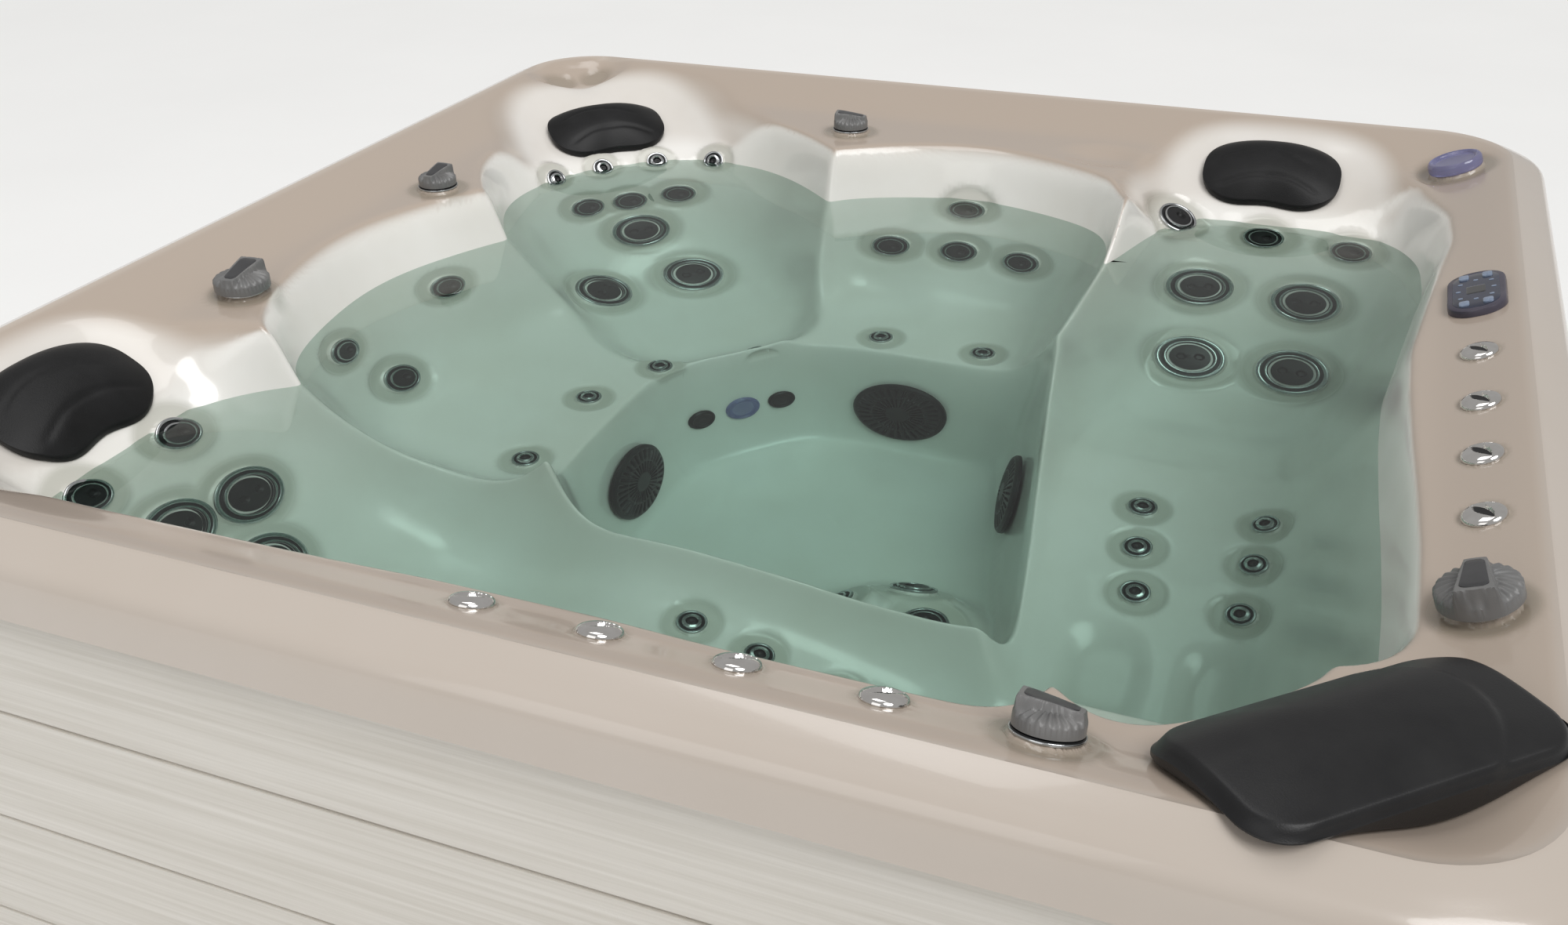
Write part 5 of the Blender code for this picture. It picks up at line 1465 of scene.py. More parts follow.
@dataclass
class Bank:
    """One hose run with the jets and valves that it feeds."""

    name: str
    start: tuple[float, float]    # where the level lines to its wall jets start
    depth: float                  # of its hose below the crease
    wall: tuple[tuple[Kind, float, float], ...] = ()
    top: tuple[tuple[Kind, float, float], ...] = ()
    valves: tuple[str, ...] = ()
    hose_r: float = 0.012
    drop_r: float = 0.0105
    bend_price: ClassVar[float] = 1.2

    def fittings(self, basin: Basin, joints: dict[str, Matrix]) -> list[Fitting]:
        """Finds the places of the bank's fittings.

        Args:
            basin: The shell that they stand on.
            joints: The frame of each turning piece's joint.

        Returns:
            The fittings.
        """
        found = [(kind, *basin.level(self.start, bearing, depth * basin.well_depth))
                 for kind, bearing, depth in self.wall]
        found += [(kind, *basin.above(x, y)) for kind, x, y in self.top]
        made, faces = [], 0
        for kind, point, normal in found:
            if kind is Kind.LARGE:
                faces += 1
                joint = f"{self.name.replace('_jets', '')}_face_{faces}"
                made.append(Fitting(kind, joints[joint], joint))
            else:
                made.append(Fitting(kind, basin.seat(point, normal, SIZES[kind].radius)))
        return made + [Fitting(Kind.VALVE, joints[name], name) for name in self.valves]

    def run_cost(self, run: Sequence[Vector], unit: float) -> float:
        """Gives the price of a run: its length, and more for bends and crossings.

        Args:
            run: The points in order.
            unit: The price of a crossing.

        Returns:
            The price.
        """
        steps = [b - a for a, b in zip(run, run[1:])]
        bends = sum(a.angle(b) ** 4 for a, b in zip(steps, steps[1:]))
        crossings = sum(bool(intersect_line_line_2d(run[i].xy, run[i + 1].xy, run[j].xy, run[j + 1].xy))
                        for j in range(len(steps)) for i in range(j - 1))
        return sum(step.length for step in steps) + self.bend_price * self.hose_r * bends + crossings * unit

    def order(self, points: Sequence[Vector], unit: float) -> list[Vector]:
        """Puts the points in an order that makes a short run without crossings.

        Args:
            points: What the hose passes under.
            unit: The price of a crossing.

        Returns:
            The points in order.
        """
        run, better = list(points), True
        while better:
            better = False
            for i in range(len(run) - 1):
                for j in range(i + 2, len(run) + 1):
                    for trial in (run[:i] + run[i:j][::-1] + run[j:],
                                  run[:i] + run[i + 1:j] + [run[i]] + run[j:]):
                        if self.run_cost(trial, unit) < self.run_cost(run, unit) - GAP:
                            run, better = trial, True
        return run

    def hoses(self, basin: Basin, fittings: Sequence[Fitting]) -> BMesh:
        """Builds the bodies behind the shell, their drops and the hose that feeds them.

        Args:
            basin: The shell.
            fittings: The bank's fittings.

        Returns:
            The mesh.
        """
        bm = bmesh.new()
        level = basin.rim_z - self.depth
        feet = []
        for fitting in fittings:
            size = SIZES[fitting.kind]
            r, deep, thick = size.body, size.length, basin.thickness
            body = [(0, -deep), (r * 0.8, -deep), (r, -deep * 0.8), (r, -deep * 0.45),
                    (r * 1.25, -deep * 0.42), (r * 1.25, -thick * 1.2), (r, -thick), (r, -GAP), (0, -GAP)]
            lathe_into(bm, rounded(body, 0.0015, 2), 20, fitting.place)
            foot = fitting.place @ Vector((0, 0, -deep * 0.8))
            feet.append(Vector((foot.x, foot.y, level)))
            if foot.z - level > self.hose_r:
                tube_into(bm, [foot, foot.lerp(feet[-1], 0.5), feet[-1]], self.drop_r, 12)
        if len(feet) > 1:
            run = self.order(feet, basin.rim_half)
            tube_into(bm, smooth_line(run, 5), self.hose_r, 14)
        return bm

    def build(self, basin: Basin, fittings: Sequence[Fitting]) -> None:
        """Builds the bank's rings, its dark cores and its hoses.

        Args:
            basin: The shell.
            fittings: The bank's fittings.
        """
        metal, cores = bmesh.new(), bmesh.new()
        for fitting in fittings:
            Face(metal, cores, fitting.place, SIZES[fitting.kind].radius).build(fitting.kind)
        finish = CHROME if "fountain" in self.name else STEEL
        add_piece(f"{self.name}_rings", metal, finish, nodes=[self.name])
        add_piece(f"{self.name}_cores", cores, ABS_BLACK, nodes=[self.name], slot=finish.slot)
        add_piece(f"{self.name}_hoses", self.hoses(basin, fittings), HOSE, nodes=[self.name],
                  slot=finish.slot)


@dataclass
class Face:
    """What shows of a fitting: its bright parts and its dark ones."""

    metal: BMesh
    cores: BMesh
    place: Matrix
    radius: float
    foot: ClassVar[float] = -0.0005         # how far its rings reach into the shell

    def build(self, kind: Kind) -> None:
        """Adds the face of one kind of fitting."""
        {Kind.SMALL: self.small, Kind.MEDIUM: self.medium, Kind.LARGE: self.large,
         Kind.FOUNTAIN: self.fountain, Kind.VALVE: self.valve}[kind]()

    def ring(self, inner: float, outer: float, low: float, high: float, sides: int = 48) -> None:
        """Adds a bright ring, whose inner and outer radius are shares of the fitting's."""
        ring_into(self.metal, self.radius * inner, self.radius * outer, low, high, self.place,
                  sides=sides)

    def small(self) -> None:
        """Adds a small jet: a rolled ring, a dark gap and a tapered nozzle with a bore."""
        r = self.radius
        self.ring(0.80, 1, self.foot, 0.0042, 40)
        cone = [(r * 0.36, 0.0008), (r * 0.70, 0.0008), (r * 0.70, 0.0030), (r * 0.58, 0.0072),
                (r * 0.42, 0.0082), (r * 0.36, 0.0066)]
        lathe_into(self.metal, cone, 40, self.place)
        core = [(0, -0.0015), (r * 0.84, -0.0015), (r * 0.84, 0.0012), (r * 0.34, 0.0012),
                (r * 0.30, 0.0030), (r * 0.16, 0.0034), (0, 0.0006)]
        lathe_into(self.cores, rounded(core, 0.0006, 2), 32, self.place)

    def medium(self) -> None:
        """Adds a medium jet: two thin rings round a dark face with a bored nozzle."""
        radius = self.radius
        self.ring(0.86, 1, self.foot, 0.0050)
        self.ring(0.62, 0.73, 0.0006, 0.0082)

        def face(r: float, a: float) -> float:
            """Gives the face's height: a flat with a round nozzle set to one side.

            Args:
                r: The distance from its middle.
                a: The bearing round it.

            Returns:
                The height there.
            """
            share = r / radius
            eye = math.hypot(r * math.cos(a) - radius * 0.18, r * math.sin(a)) / radius
            if share > 0.62:
                return 0.0016
            return 0.0062 + 0.0012 * (1 - share ** 2) - 0.0052 * float(1 - smoothstep(0.15, 0.24, eye))

        shares = (0.08, 0.16, 0.24, 0.32, 0.40, 0.48, 0.56, 0.615, 0.64, 0.90)
        cap_into(self.cores, self.place, [radius * s for s in shares], 36, face, -0.0012)

    def large(self) -> None:
        """Adds a large jet's fixed part: a broad ring, a dark groove and the socket's rim."""
        r = self.radius
        self.ring(0.86, 1, self.foot, 0.0052, 64)
        self.ring(0.68, 0.765, self.foot, 0.0086, 64)
        lathe_into(self.cores, [(0, -0.004), (r * 0.9, -0.004), (r * 0.9, 0.0018), (r * 0.66, 0.0018),
                                (r * 0.655, -0.0022), (0, -0.0022)], 48, self.place)

    def fountain(self) -> None:
        """Adds a fountain: a low bright dome with a lens-shaped mouth."""
        radius, lean = self.radius, math.radians(35)

        def dome(r: float, a: float) -> float:
            """Gives the dome's height, sunk at its mouth.

            Args:
                r: The distance from its middle.
                a: The bearing round it.

            Returns:
                The height there.
            """
            u, v = r * math.cos(a - lean) / radius, r * math.sin(a - lean) / radius
            mouth = (1 - (u / 0.80) ** 2) - abs(v) / 0.34
            rise = 0.0010 + 0.0078 * math.sqrt(max(0.0, 1 - (r / radius) ** 2.4))
            return rise - 0.0046 * float(smoothstep(0.0, 0.30, mouth))

        cap_into(self.metal, self.place, [radius * s for s in np.linspace(0.06, 1, 16)], 72, dome, -0.0003)
        mouth = [(radius * 0.70 * c, radius * 0.22 * math.copysign(abs(s) ** 1.2, s))
                 for c, s in ((math.cos(t), math.sin(t)) for t in even_turns(32))]
        plate_into(self.cores, mouth, 0.0012, 0.0046, self.place @ Matrix.Rotation(lean, 4, "Z"), 0.0004)

    def valve(self) -> None:
        """Adds a valve's seat: a thin ring and a dark washer under its knob."""
        r = self.radius
        self.ring(0.94, 1, self.foot, 0.0028)
        lathe_into(self.cores, rounded([(0, -0.001), (r * 0.96, -0.001), (r * 0.96, 0.0038), (0, 0.0042)],
                                       0.0008, 2), 40, self.place)


SEAT_HOSE, FOOT_HOSE, FOUNTAIN_HOSE = 0.618, 0.79, 0.2
S, M, L, F = Kind.SMALL, Kind.MEDIUM, Kind.LARGE, Kind.FOUNTAIN
BANKS = (
    Bank("corner_seat_jets", (-0.40, 0.42), SEAT_HOSE,
         ((S, 160, 0.19), (S, 144, 0.19), (S, 127, 0.19), (S, 109, 0.19), (M, 157, 0.37), (M, 141, 0.38),
          (M, 122, 0.37), (L, 143, 0.52)),
         ((L, -0.585, 0.355), (L, -0.455, 0.505), (S, -0.320, 0.080), (S, -0.20, 0.225)),
         ("left_far_knob",)),
    Bank("back_seat_jets", (0.06, 0.30), SEAT_HOSE,
         ((M, 91, 0.24), (M, 113, 0.44), (M, 90, 0.44), (M, 68, 0.44)),
         ((S, 0.0, 0.335), (S, 0.19, 0.335)), ("back_knob",)),
    Bank("left_seat_jets", (-0.45, -0.10), SEAT_HOSE,
         ((M, 149, 0.31), (M, 201, 0.31), (M, 195, 0.50)), ((S, -0.385, -0.06), (S, -0.385, -0.27)),
         ("left_big_knob",)),
    Bank("lounger_back_jets", (0.61, 0.40), SEAT_HOSE, (),
         ((M, 0.45, 0.725), (M, 0.61, 0.735), (M, 0.765, 0.725), (L, 0.515, 0.62), (L, 0.705, 0.62),
          (L, 0.53, 0.47), (L, 0.705, 0.47))),
    Bank("lounger_calf_jets", (0.61, 0.0), SEAT_HOSE, (),
         ((S, 0.535, -0.03), (S, 0.545, -0.12), (S, 0.56, -0.21), (S, 0.705, -0.22), (S, 0.71, -0.12),
          (S, 0.715, -0.03)), ("right_knob",)),
    Bank("near_lounger_jets", (-0.5, -0.6), SEAT_HOSE, (),
         ((M, -0.765, -0.575), (M, -0.76, -0.755), (L, -0.675, -0.70), (L, -0.66, -0.58),
          (L, -0.575, -0.65), (S, 0.01, -0.51), (S, 0.115, -0.525), (S, 0.235, -0.535)),
         ("near_knob",)),
    Bank("foot_jets", (0.2, -0.2), FOOT_HOSE, (), ((M, 0.13, -0.27), (M, 0.235, -0.21), (M, 0.28, -0.30))),
    Bank("right_fountains", (0.9, 0.0), FOUNTAIN_HOSE, (),
         ((F, 0.944, 0.045), (F, 0.944, -0.11), (F, 0.944, -0.255), (F, 0.944, -0.40))),
    Bank("near_fountains", (0.0, -0.9), FOUNTAIN_HOSE, (),
         ((F, -0.03, -0.93), (F, 0.12, -0.93), (F, 0.27, -0.93), (F, 0.42, -0.93))),
)


@dataclass
class TurningFace:
    """A large jet's inner face: a dark disc with a hub and two nozzles, which turns in its socket."""

    name: str
    place: Matrix
    radius: float = 0.0355
    top: float = 0.0088
    low: float = 0.0009

    def build(self) -> None:
        """Builds the face."""
        bm = bmesh.new()

        def height(r: float, a: float) -> float:
            """Gives the face's height: crowned, with two deep nozzles and a middle boss.

            Args:
                r: The distance from its middle.
                a: The bearing round it.

            Returns:
                The height there.
            """
            x, y = r * math.cos(a) / self.radius, r * math.sin(a) / self.radius
            eyes = min(math.hypot(x - 0.44, y), math.hypot(x + 0.44, y))
            crown = self.top - 0.0030 * (r / self.radius) ** 2
            boss = 0.0006 * float(1 - smoothstep(0.10, 0.16, math.hypot(x, y)))
            return crown + boss - 0.0006 - 0.0050 * float(1 - smoothstep(0.17, 0.25, eyes))

        cap_into(bm, self.place, [self.radius * s for s in np.linspace(0.06, 1, 17)], 48, height, self.low)
        add_piece(f"{self.name}_disc", bm, ABS_BLACK, f"{self.name}_body", [self.name])


KNOB_SCALES = {"left_big_knob": 1.25, "right_knob": 1.25}         # over the others' size


@dataclass
class Knob:
    """A valve's knob: a round skirt, a grip bar with a dark inset, and fan ribs behind it."""

    name: str
    place: Matrix
    scale: float = 1.0
    radius: float = 0.034
    height: float = 0.030
    bar_w: float = 0.020
    bar_h: float = 0.010
    seat_h: float = 0.0053
    ribs: int = 22
    ramp: float = 0.28            # fall of the grip's top from end to end, over the knob's height

    def build(self) -> None:
        """Builds the knob and its inset."""
        radius, tall = self.radius * self.scale, self.height * self.scale
        half, top = self.bar_w * self.scale / 2, tall * 0.7 + self.bar_h
        seat = self.place @ Matrix.Translation((0, 0, self.seat_h))

        def on_bar(r: float, a: float) -> float:
            """Gives how far a place lies on the grip, from 0 to 1.

            Args:
                r: The distance from its middle.
                a: The bearing round it.

            Returns:
                The share.
            """
            u, v = r * math.cos(a), abs(r * math.sin(a))
            wide = half * (1.35 + 0.45 * u / radius)
            across = 1 - smoothstep(wide * 0.88, wide * 1.06, v)
            return float(across * (1 - smoothstep(radius * 0.88, radius * 0.96, abs(u))))

        def height(r: float, a: float) -> float:
            """Gives the knob's height over its plan.

            Args:
                r: The distance from its middle.
                a: The bearing round it.

            Returns:
                The height there.
            """
            dome = tall * (0.42 + 0.22 * (1 - (r / radius) ** 3)) - 0.0022 * float(
                smoothstep(radius * 0.93, radius, r))
            grip = on_bar(r, a)
            rib = 0.0013 * math.cos(self.ribs * a) * float(smoothstep(radius * 0.3, radius * 0.5, r))
            crown = top - self.ramp * tall * (1 - r * math.cos(a) / radius) / 2 - 0.0012 * (r / radius) ** 2
            return dome * (1 - grip) + crown * grip + rib * (1 - grip)

        bm = bmesh.new()
        cap_into(bm, seat, [radius * s for s in np.linspace(0.05, 1, 26)], 176, height, 0)
        body = f"{self.name}_body"
        add_piece(f"{self.name}_grip", bm, ABS_GREY, body, [self.name])
        inset = bmesh.new()
        lean = math.atan2(self.ramp * tall / 2, radius)
        middle = Matrix.Translation((0, 0, top - self.ramp * tall / 2))
        level = seat @ middle @ Matrix.Rotation(-lean, 4, "Y")
        face = [(px, py * (1 + 0.30 * px / radius)) for px, py in
                split_sides(round_rect(radius * 1.50, half * 1.9, half * 0.6), 0.004)]
        plate_into(inset, face, -0.003, 0.0002, level, 0.0006, 0.0003)
        add_piece(f"{self.name}_inset", inset, ABS_DARK_INSET, body)


@dataclass
class FootwellFittings:
    """The suction covers, air caps and lamp on the footwell's walls."""

    basin: Basin
    covers: tuple[tuple[str, float, float], ...] = (
        ("suction_left", 197, 0.85), ("suction_back", 84, 0.85), ("suction_right", 16, 0.85))
    caps: tuple[tuple[str, float, float], ...] = (
        ("riser_cap_left", 160, 0.026), ("footwell_lamp", 145, 0.032), ("riser_cap_right", 130, 0.026))
    cap_depth: float = 0.83
    cover_r: float = 0.085
    cover_t: float = 0.016
    slots: int = 30

    def places(self) -> dict[str, Matrix]:
        """Finds where each fitting stands.

        Returns:
            The fittings' frames by name.
        """
        basin = self.basin
        made = {}
        for name, bearing, share in self.covers:
            made[name] = basin.seat(*basin.level(basin.middle, bearing, share * basin.well_depth),
                                    self.cover_r)
        for name, bearing, radius in self.caps:
            made[name] = basin.seat(*basin.level(basin.middle, bearing, self.cap_depth * basin.well_depth),
                                    radius)
        return made

    def build(self) -> None:
        """Builds the covers with their slots, the caps and the lamp."""
        places = self.places()
        radius, thick = self.cover_r, self.cover_t

        def grille(r: float, a: float) -> float:
            """Gives a cover's height: a low dome with rays of slots between two plain bands.

            Args:
                r: The distance from its middle.
                a: The bearing round it.

            Returns:
                The height there.
            """
            share = r / radius
            dome = thick * (1 - 0.45 * share ** 3) - 0.003 * float(smoothstep(0.94, 1, share))
            band = float(smoothstep(0.24, 0.30, share) * (1 - smoothstep(0.84, 0.90, share)))
            ring = 1 - float(1 - smoothstep(0.02, 0.05, abs(share - 0.58)))
            return dome - 0.0042 * band * ring * float(smoothstep(-0.1, 0.35, math.cos(self.slots * a)))

        rings = [radius * s for s in np.linspace(0.04, 1, 34)]
        for name, _, _ in self.covers:
            bm = bmesh.new()
            cap_into(bm, places[name], rings, self.slots * 8, grille, 0)
            tube_into(bm, [places[name] @ Vector((0, 0, z)) for z in (0, -0.02, -0.04)], 0.03, 24)
            add_piece(f"{name}_grille", bm, ABS_BLACK, nodes=[name])
        for name, _, cap_r in self.caps:
            lamp = name == "footwell_lamp"
            bm = bmesh.new()
            body = [(0, -0.022), (cap_r * 0.62, -0.022), (cap_r * 0.62, 0), (cap_r, 0), (cap_r, 0.004),
                    (cap_r * 0.86, 0.0078), (cap_r * 0.74, 0.0078), (cap_r * 0.70, 0.0056),
                    (cap_r * 0.30, 0.0070), (0, 0.0088 if lamp else 0.0060)]
            lathe_into(bm, rounded(body, 0.0012, 2), 40, places[name])
            add_piece(f"{name}_dressed", bm, LENS if lamp else ABS_BLACK, nodes=[name])


@dataclass
class LightCup:
    """The clear cup on the rim's corner, lit blue from below."""

    basin: Basin
    at: tuple[float, float] = (0.918, 0.865)
    radius: float = 0.046
    height: float = 0.020

    def place(self) -> Matrix:
        """Gives the cup's frame on the rim."""
        return self.basin.seat(*self.basin.above(*self.at), self.radius)

    def recess(self) -> Recess:
        """Gives the shallow dish that the cup stands in."""
        return Recess(self.place(), self.radius * 0.98, self.radius * 1.45, 0.006)

    def build(self) -> None:
        """Builds the cup with its rolled edge and its sunk middle."""
        bm = bmesh.new()
        r, h = self.radius, self.height
        profile = [(0, -0.04), (r * 0.6, -0.04), (r * 0.6, -0.001), (r * 0.97, 0), (r, h * 0.2),
                   (r, h * 0.7), (r * 0.94, h * 0.96), (r * 0.86, h), (r * 0.78, h * 0.93),
                   (r * 0.72, h * 0.74), (r * 0.4, h * 0.68), (0, h * 0.68)]
        lathe_into(bm, rounded(profile, 0.0025, 4), 64, self.place())
        add_piece("light_cup_clear", bm, LENS, nodes=["light_cup"])


@dataclass
class ControlPanel:
    """The control panel: a plum bezel, a dark film with a display, fixed marks and four keys."""

    joints: dict[str, Matrix]
    width: float = 0.080
    length: float = 0.150
    thick: float = 0.012
    key: tuple[float, float] = (0.014, 0.017)
    key_t: float = 0.007
    proud: float = 0.0025
    pitch: float = 0.100
    buttons: ClassVar[tuple[str, ...]] = ("pump_button", "air_button", "warmer_button", "lamp_button")

    def place(self) -> Matrix:
        """Gives the panel's frame from its keys' places, with Y along the panel.

        Returns:
            The frame.
        """
        spots = [self.joints[name].translation for name in self.buttons]
        out = self.joints[self.buttons[0]].to_3x3().col[2]
        along = (spots[2] + spots[3] - spots[0] - spots[1]).normalized()
        across = along.cross(out).normalized()
        turn = Matrix((across, out.cross(across), out)).transposed().to_4x4()
        rise = self.thick + self.proud - self.key_t / 2
        return Matrix.Translation(sum(spots, Vector()) / len(spots) - out * rise) @ turn

    def build(self) -> None:
        """Builds the bezel, film, display, marks and keys."""
        frame = self.place()
        bezel = bmesh.new()
        outline = split_sides(round_rect(self.width, self.length, self.width * 0.45, 12), 0.006)
        plate_into(bezel, outline, 0, self.thick - 0.0012, frame, 0.0045)
        body = round_rect(self.width * 0.55, self.length * 0.7, self.width * 0.2, 4)
        plate_into(bezel, body, -0.030, 0, frame, 0.001)
        add_piece("panel_bezel", bezel, BEZEL, nodes=["control_panel"])
        film = bmesh.new()
        inner = split_sides(round_rect(self.width * 0.80, self.length * 0.885, self.width * 0.37, 12), 0.006)
        plate_into(film, inner, self.thick - 0.004, self.thick - 0.0006, frame, 0.0008, 0.0004)
        add_piece("panel_film", film, CONSOLE)
        screen = bmesh.new()
        plate_into(screen, split_sides(round_rect(0.026, 0.030, 0.003, 4), 0.005), self.thick - 0.003,
                   self.thick, frame, 0.0005)
        add_piece("panel_display", screen, SCREEN)
        marks = bmesh.new()
        for x, y in ((0.024, 0), (-0.024, 0), (0, 0.036), (0, -0.036), (0.021, 0.027), (-0.021, 0.027),
                     (0.021, -0.027), (-0.021, -0.027)):
            plate_into(marks, round_rect(0.007, 0.0045, 0.0022, 5), self.thick - 0.002, self.thick + 0.0002,
                       frame @ Matrix.Translation((x, y, 0)), 0.0005)
        add_piece("panel_marks", marks, KEYS)
        for k, name in enumerate(self.buttons):
            side, end = (-1 if k % 2 else 1), (-1 if k < 2 else 1)
            seat = frame @ Matrix.Translation((side * self.width * 0.2, end * self.pitch / 2, 0))
            bm = bmesh.new()
            top = self.thick + self.proud
            plate_into(bm, round_rect(*self.key, self.key[0] * 0.3, 5), top - self.key_t, top - 0.0006, seat,
                       0.0012, 0.0006)
            add_piece(f"{name}_key", bm, KEYS, f"{name}_body", [name])


# Soft pieces and lid


@dataclass
class Pillow:
    """A head pillow of skinned foam: crowned, waisted on its water side, with two pressed seams."""

    basin: Basin
    name: str
    at: tuple[float, float]
    back: float
    length: float = 0.25
    width: float = 0.145
    thick: float = 0.048
    waist: float = 0.20
    edge: float = 0.30            # height of its edge over its thickness
    foot: float = 0.93
    seam: float = 0.0030
    sides: int = 96
    levels: int = 22
    clear: float = 0.0006

    def outline(self) -> Outline:
        """Draws the pillow out towards the rim and along it.

        Returns:
            Its outline.
        """
        points = []
        for a in even_turns(self.sides):
            along = math.copysign(abs(math.cos(a)) ** 0.8, math.cos(a)) * self.length / 2
            out = math.copysign(abs(math.sin(a)) ** 0.75, math.sin(a)) * self.width / 2
            if out < 0:
                out *= 1 - self.waist * math.exp(-(along / (self.length * 0.22)) ** 2)
            points.append((out, along))
        return points

    def height(self, out: float, along: float, share: float) -> float:
        """Gives the pillow's thickness at a place.

        Args:
            out: The place towards the rim.
            along: The place along the rim.
            share: How far in from the outline it lies, from 0 to 1.

        Returns:
            The thickness there.
        """
        crown = self.thick * (1 - (1 - share) ** 2.6)
        bow = self.width * (-0.30 + 0.09 * math.cos(along / self.length * 5))
        arc = self.width * (0.16 - 1.2 * (along / self.length - 0.12) ** 2)
        fade = float(smoothstep(0.05, 0.2, share))
        low_line = math.exp(-((out - bow) / 0.0036) ** 2) * float(
            1 - smoothstep(0.36, 0.44, abs(along) / self.length))
        high_line = math.exp(-((out - arc) / 0.0026) ** 2) * float(
            smoothstep(-0.30, -0.22, along / self.length)
            * (1 - smoothstep(0.34, 0.42, along / self.length)))
        pressed = self.seam * fade * (low_line + 0.55 * high_line)
        return self.edge * self.thick + (1 - self.edge) * crown - pressed

    def build(self) -> None:
        """Builds the pillow on the shell's own curve."""
        unit = self.basin.rim_half
        middle = Matrix.Translation((self.at[0] * unit, self.at[1] * unit, 0))
        turn = middle @ Matrix.Rotation(math.radians(self.back), 4, "Z")
        bm = bmesh.new()

        def verts(scale: float, rise: Callable[[float, float], float]) -> list[BMVert]:
            """Adds a ring of the outline at a scale, each point raised off the shell.

            Args:
                scale: The scale.
                rise: Gives how far a point is raised for its place on the outline.

            Returns:
                The ring.
            """
            spots = [(out * scale, along * scale) for out, along in self.outline()]
            plan = [turn @ Vector((out, along, 0)) for out, along in spots]
            low = self.basin.formed(np.array([p.x for p in plan]), np.array([p.y for p in plan]))
            return [bm.verts.new((p.x, p.y, z + self.clear + rise(*spot)))
                    for p, z, spot in zip(plan, low, spots)]

        shares = [(j / self.levels) ** 1.5 for j in range(self.levels)]
        under = [verts(self.foot * (1 - share), lambda out, along: 0.0) for share in shares[::2]]
        side = [verts(scale, lambda out, along, rise=rise: self.edge * self.thick * rise)
                for scale, rise in ((0.965, 0.12), (0.99, 0.45), (1.0, 0.8))]
        top = [verts(1 - share, lambda out, along, share=share: self.height(out, along, share))
               for share in shares]
        centre = turn @ Vector((0, 0, 0))
        low = float(self.basin.formed(np.array(centre.x), np.array(centre.y))) + self.clear
        ends = [[bm.verts.new((centre.x, centre.y, low + rise))] for rise in (0, self.height(0, 0, 1))]
        join_rings(bm, [ends[0]] + under[::-1] + side + top + [ends[1]])
        pillow = add_piece(f"{self.name}_skinned", bm, PILLOW, nodes=[self.name])


PILLOWS = (("corner_pillow", (-0.762, 0.752), 135), ("lounger_pillow", (0.60, 0.86), 90),
           ("near_pillow", (-0.865, -0.655), 180))


@dataclass
class FilterLid:
    """The filter's lid: a black crowned cover, its front falling to the water, with a raised rim."""

    basin: Basin
    at: tuple[float, float] = (0.835, -0.865)
    turn: float = math.radians(43) - math.pi
    length: float = 0.345
    width: float = 0.185
    corner: float = 0.045
    top: float = 0.0304
    crown: float = 0.014
    fall: float = 0.036
    clear: float = 0.0045
    step: float = 0.0035          # drop of the lid's end past its crease
    crease_at: float = 0.33       # the crease along the lid, over its length

    def height(self, along: float, out: float, share: float) -> float:
        """Gives the lid's height.

        Args:
            along: The place along the lid.
            out: The place across the lid, out towards the corner.
            share: The place from the middle, 1 at the outline.

        Returns:
            The height above the floor.
        """
        bow = self.crease_at - 0.9 * (out / self.width) ** 2 * (1 - self.crease_at)
        past = float(smoothstep(-0.012, 0.012, -along / self.length - bow))
        fall = float(soft_plus(-out - self.width * 0.2, self.width * 0.1)) / (self.width * 0.3)
        edge = 0.8 * float(smoothstep(0.93, 1, share))
        return (self.basin.rim_z + self.top - self.crown * (share ** 2 + edge) - self.fall * fall
                - self.step * past)

    def build(self) -> None:
        """Builds the lid."""
        unit = self.basin.rim_half
        frame = Matrix.Translation((self.at[0] * unit, self.at[1] * unit, 0)) @ Matrix.Rotation(
            self.turn, 4, "Z")
        outline = split_sides(round_rect(self.length, self.width, self.corner, 12), 0.006)
        bm = bmesh.new()

        def ring(share: float, height: Callable[[Vector, float, float], float]) -> list[BMVert]:
            """Adds a ring of the outline at a share, each point at its height.

            Args:
                share: The share.
                height: Gives a point's height for its spot and its place on the outline.

            Returns:
                The ring.
            """
            made = []
            for px, py in outline:
                spot = frame @ Vector((px * share, py * share, 0))
                made.append(bm.verts.new((spot.x, spot.y, height(spot, px * share, py * share))))
            return made

        def base(spot: Vector, along: float, out: float) -> float:
            """Gives the underside's height, clear of the rim."""
            here = float(self.basin.formed(np.array(spot.x), np.array(spot.y)))
            return max(here, self.basin.rim_z - self.basin.fall) + self.clear

        shares = (0.99, 0.9, 0.7, 0.5, 0.25)
        under = [ring(share, base) for share in shares]
        tops = (1.0, 0.985, 0.965, 0.94, *np.arange(0.92, 0.04, -0.025))
        skirt = [ring(1.0, lambda spot, along, out: base(spot, along, out) + 0.003)]
        top = [ring(share, lambda spot, along, out, share=share: self.height(along, out, share))
               for share in tops]
        centre = frame @ Vector((0, 0, 0))
        ends = [[bm.verts.new((centre.x, centre.y, z))] for z in (base(centre, 0, 0), self.height(0, 0, 0))]
        join_rings(bm, [ends[0]] + under[::-1] + skirt + top + [ends[1]])
        add_piece("filter_lid_cover", bm, ABS_BLACK, "filter_lid_body", ["filter_lid"])


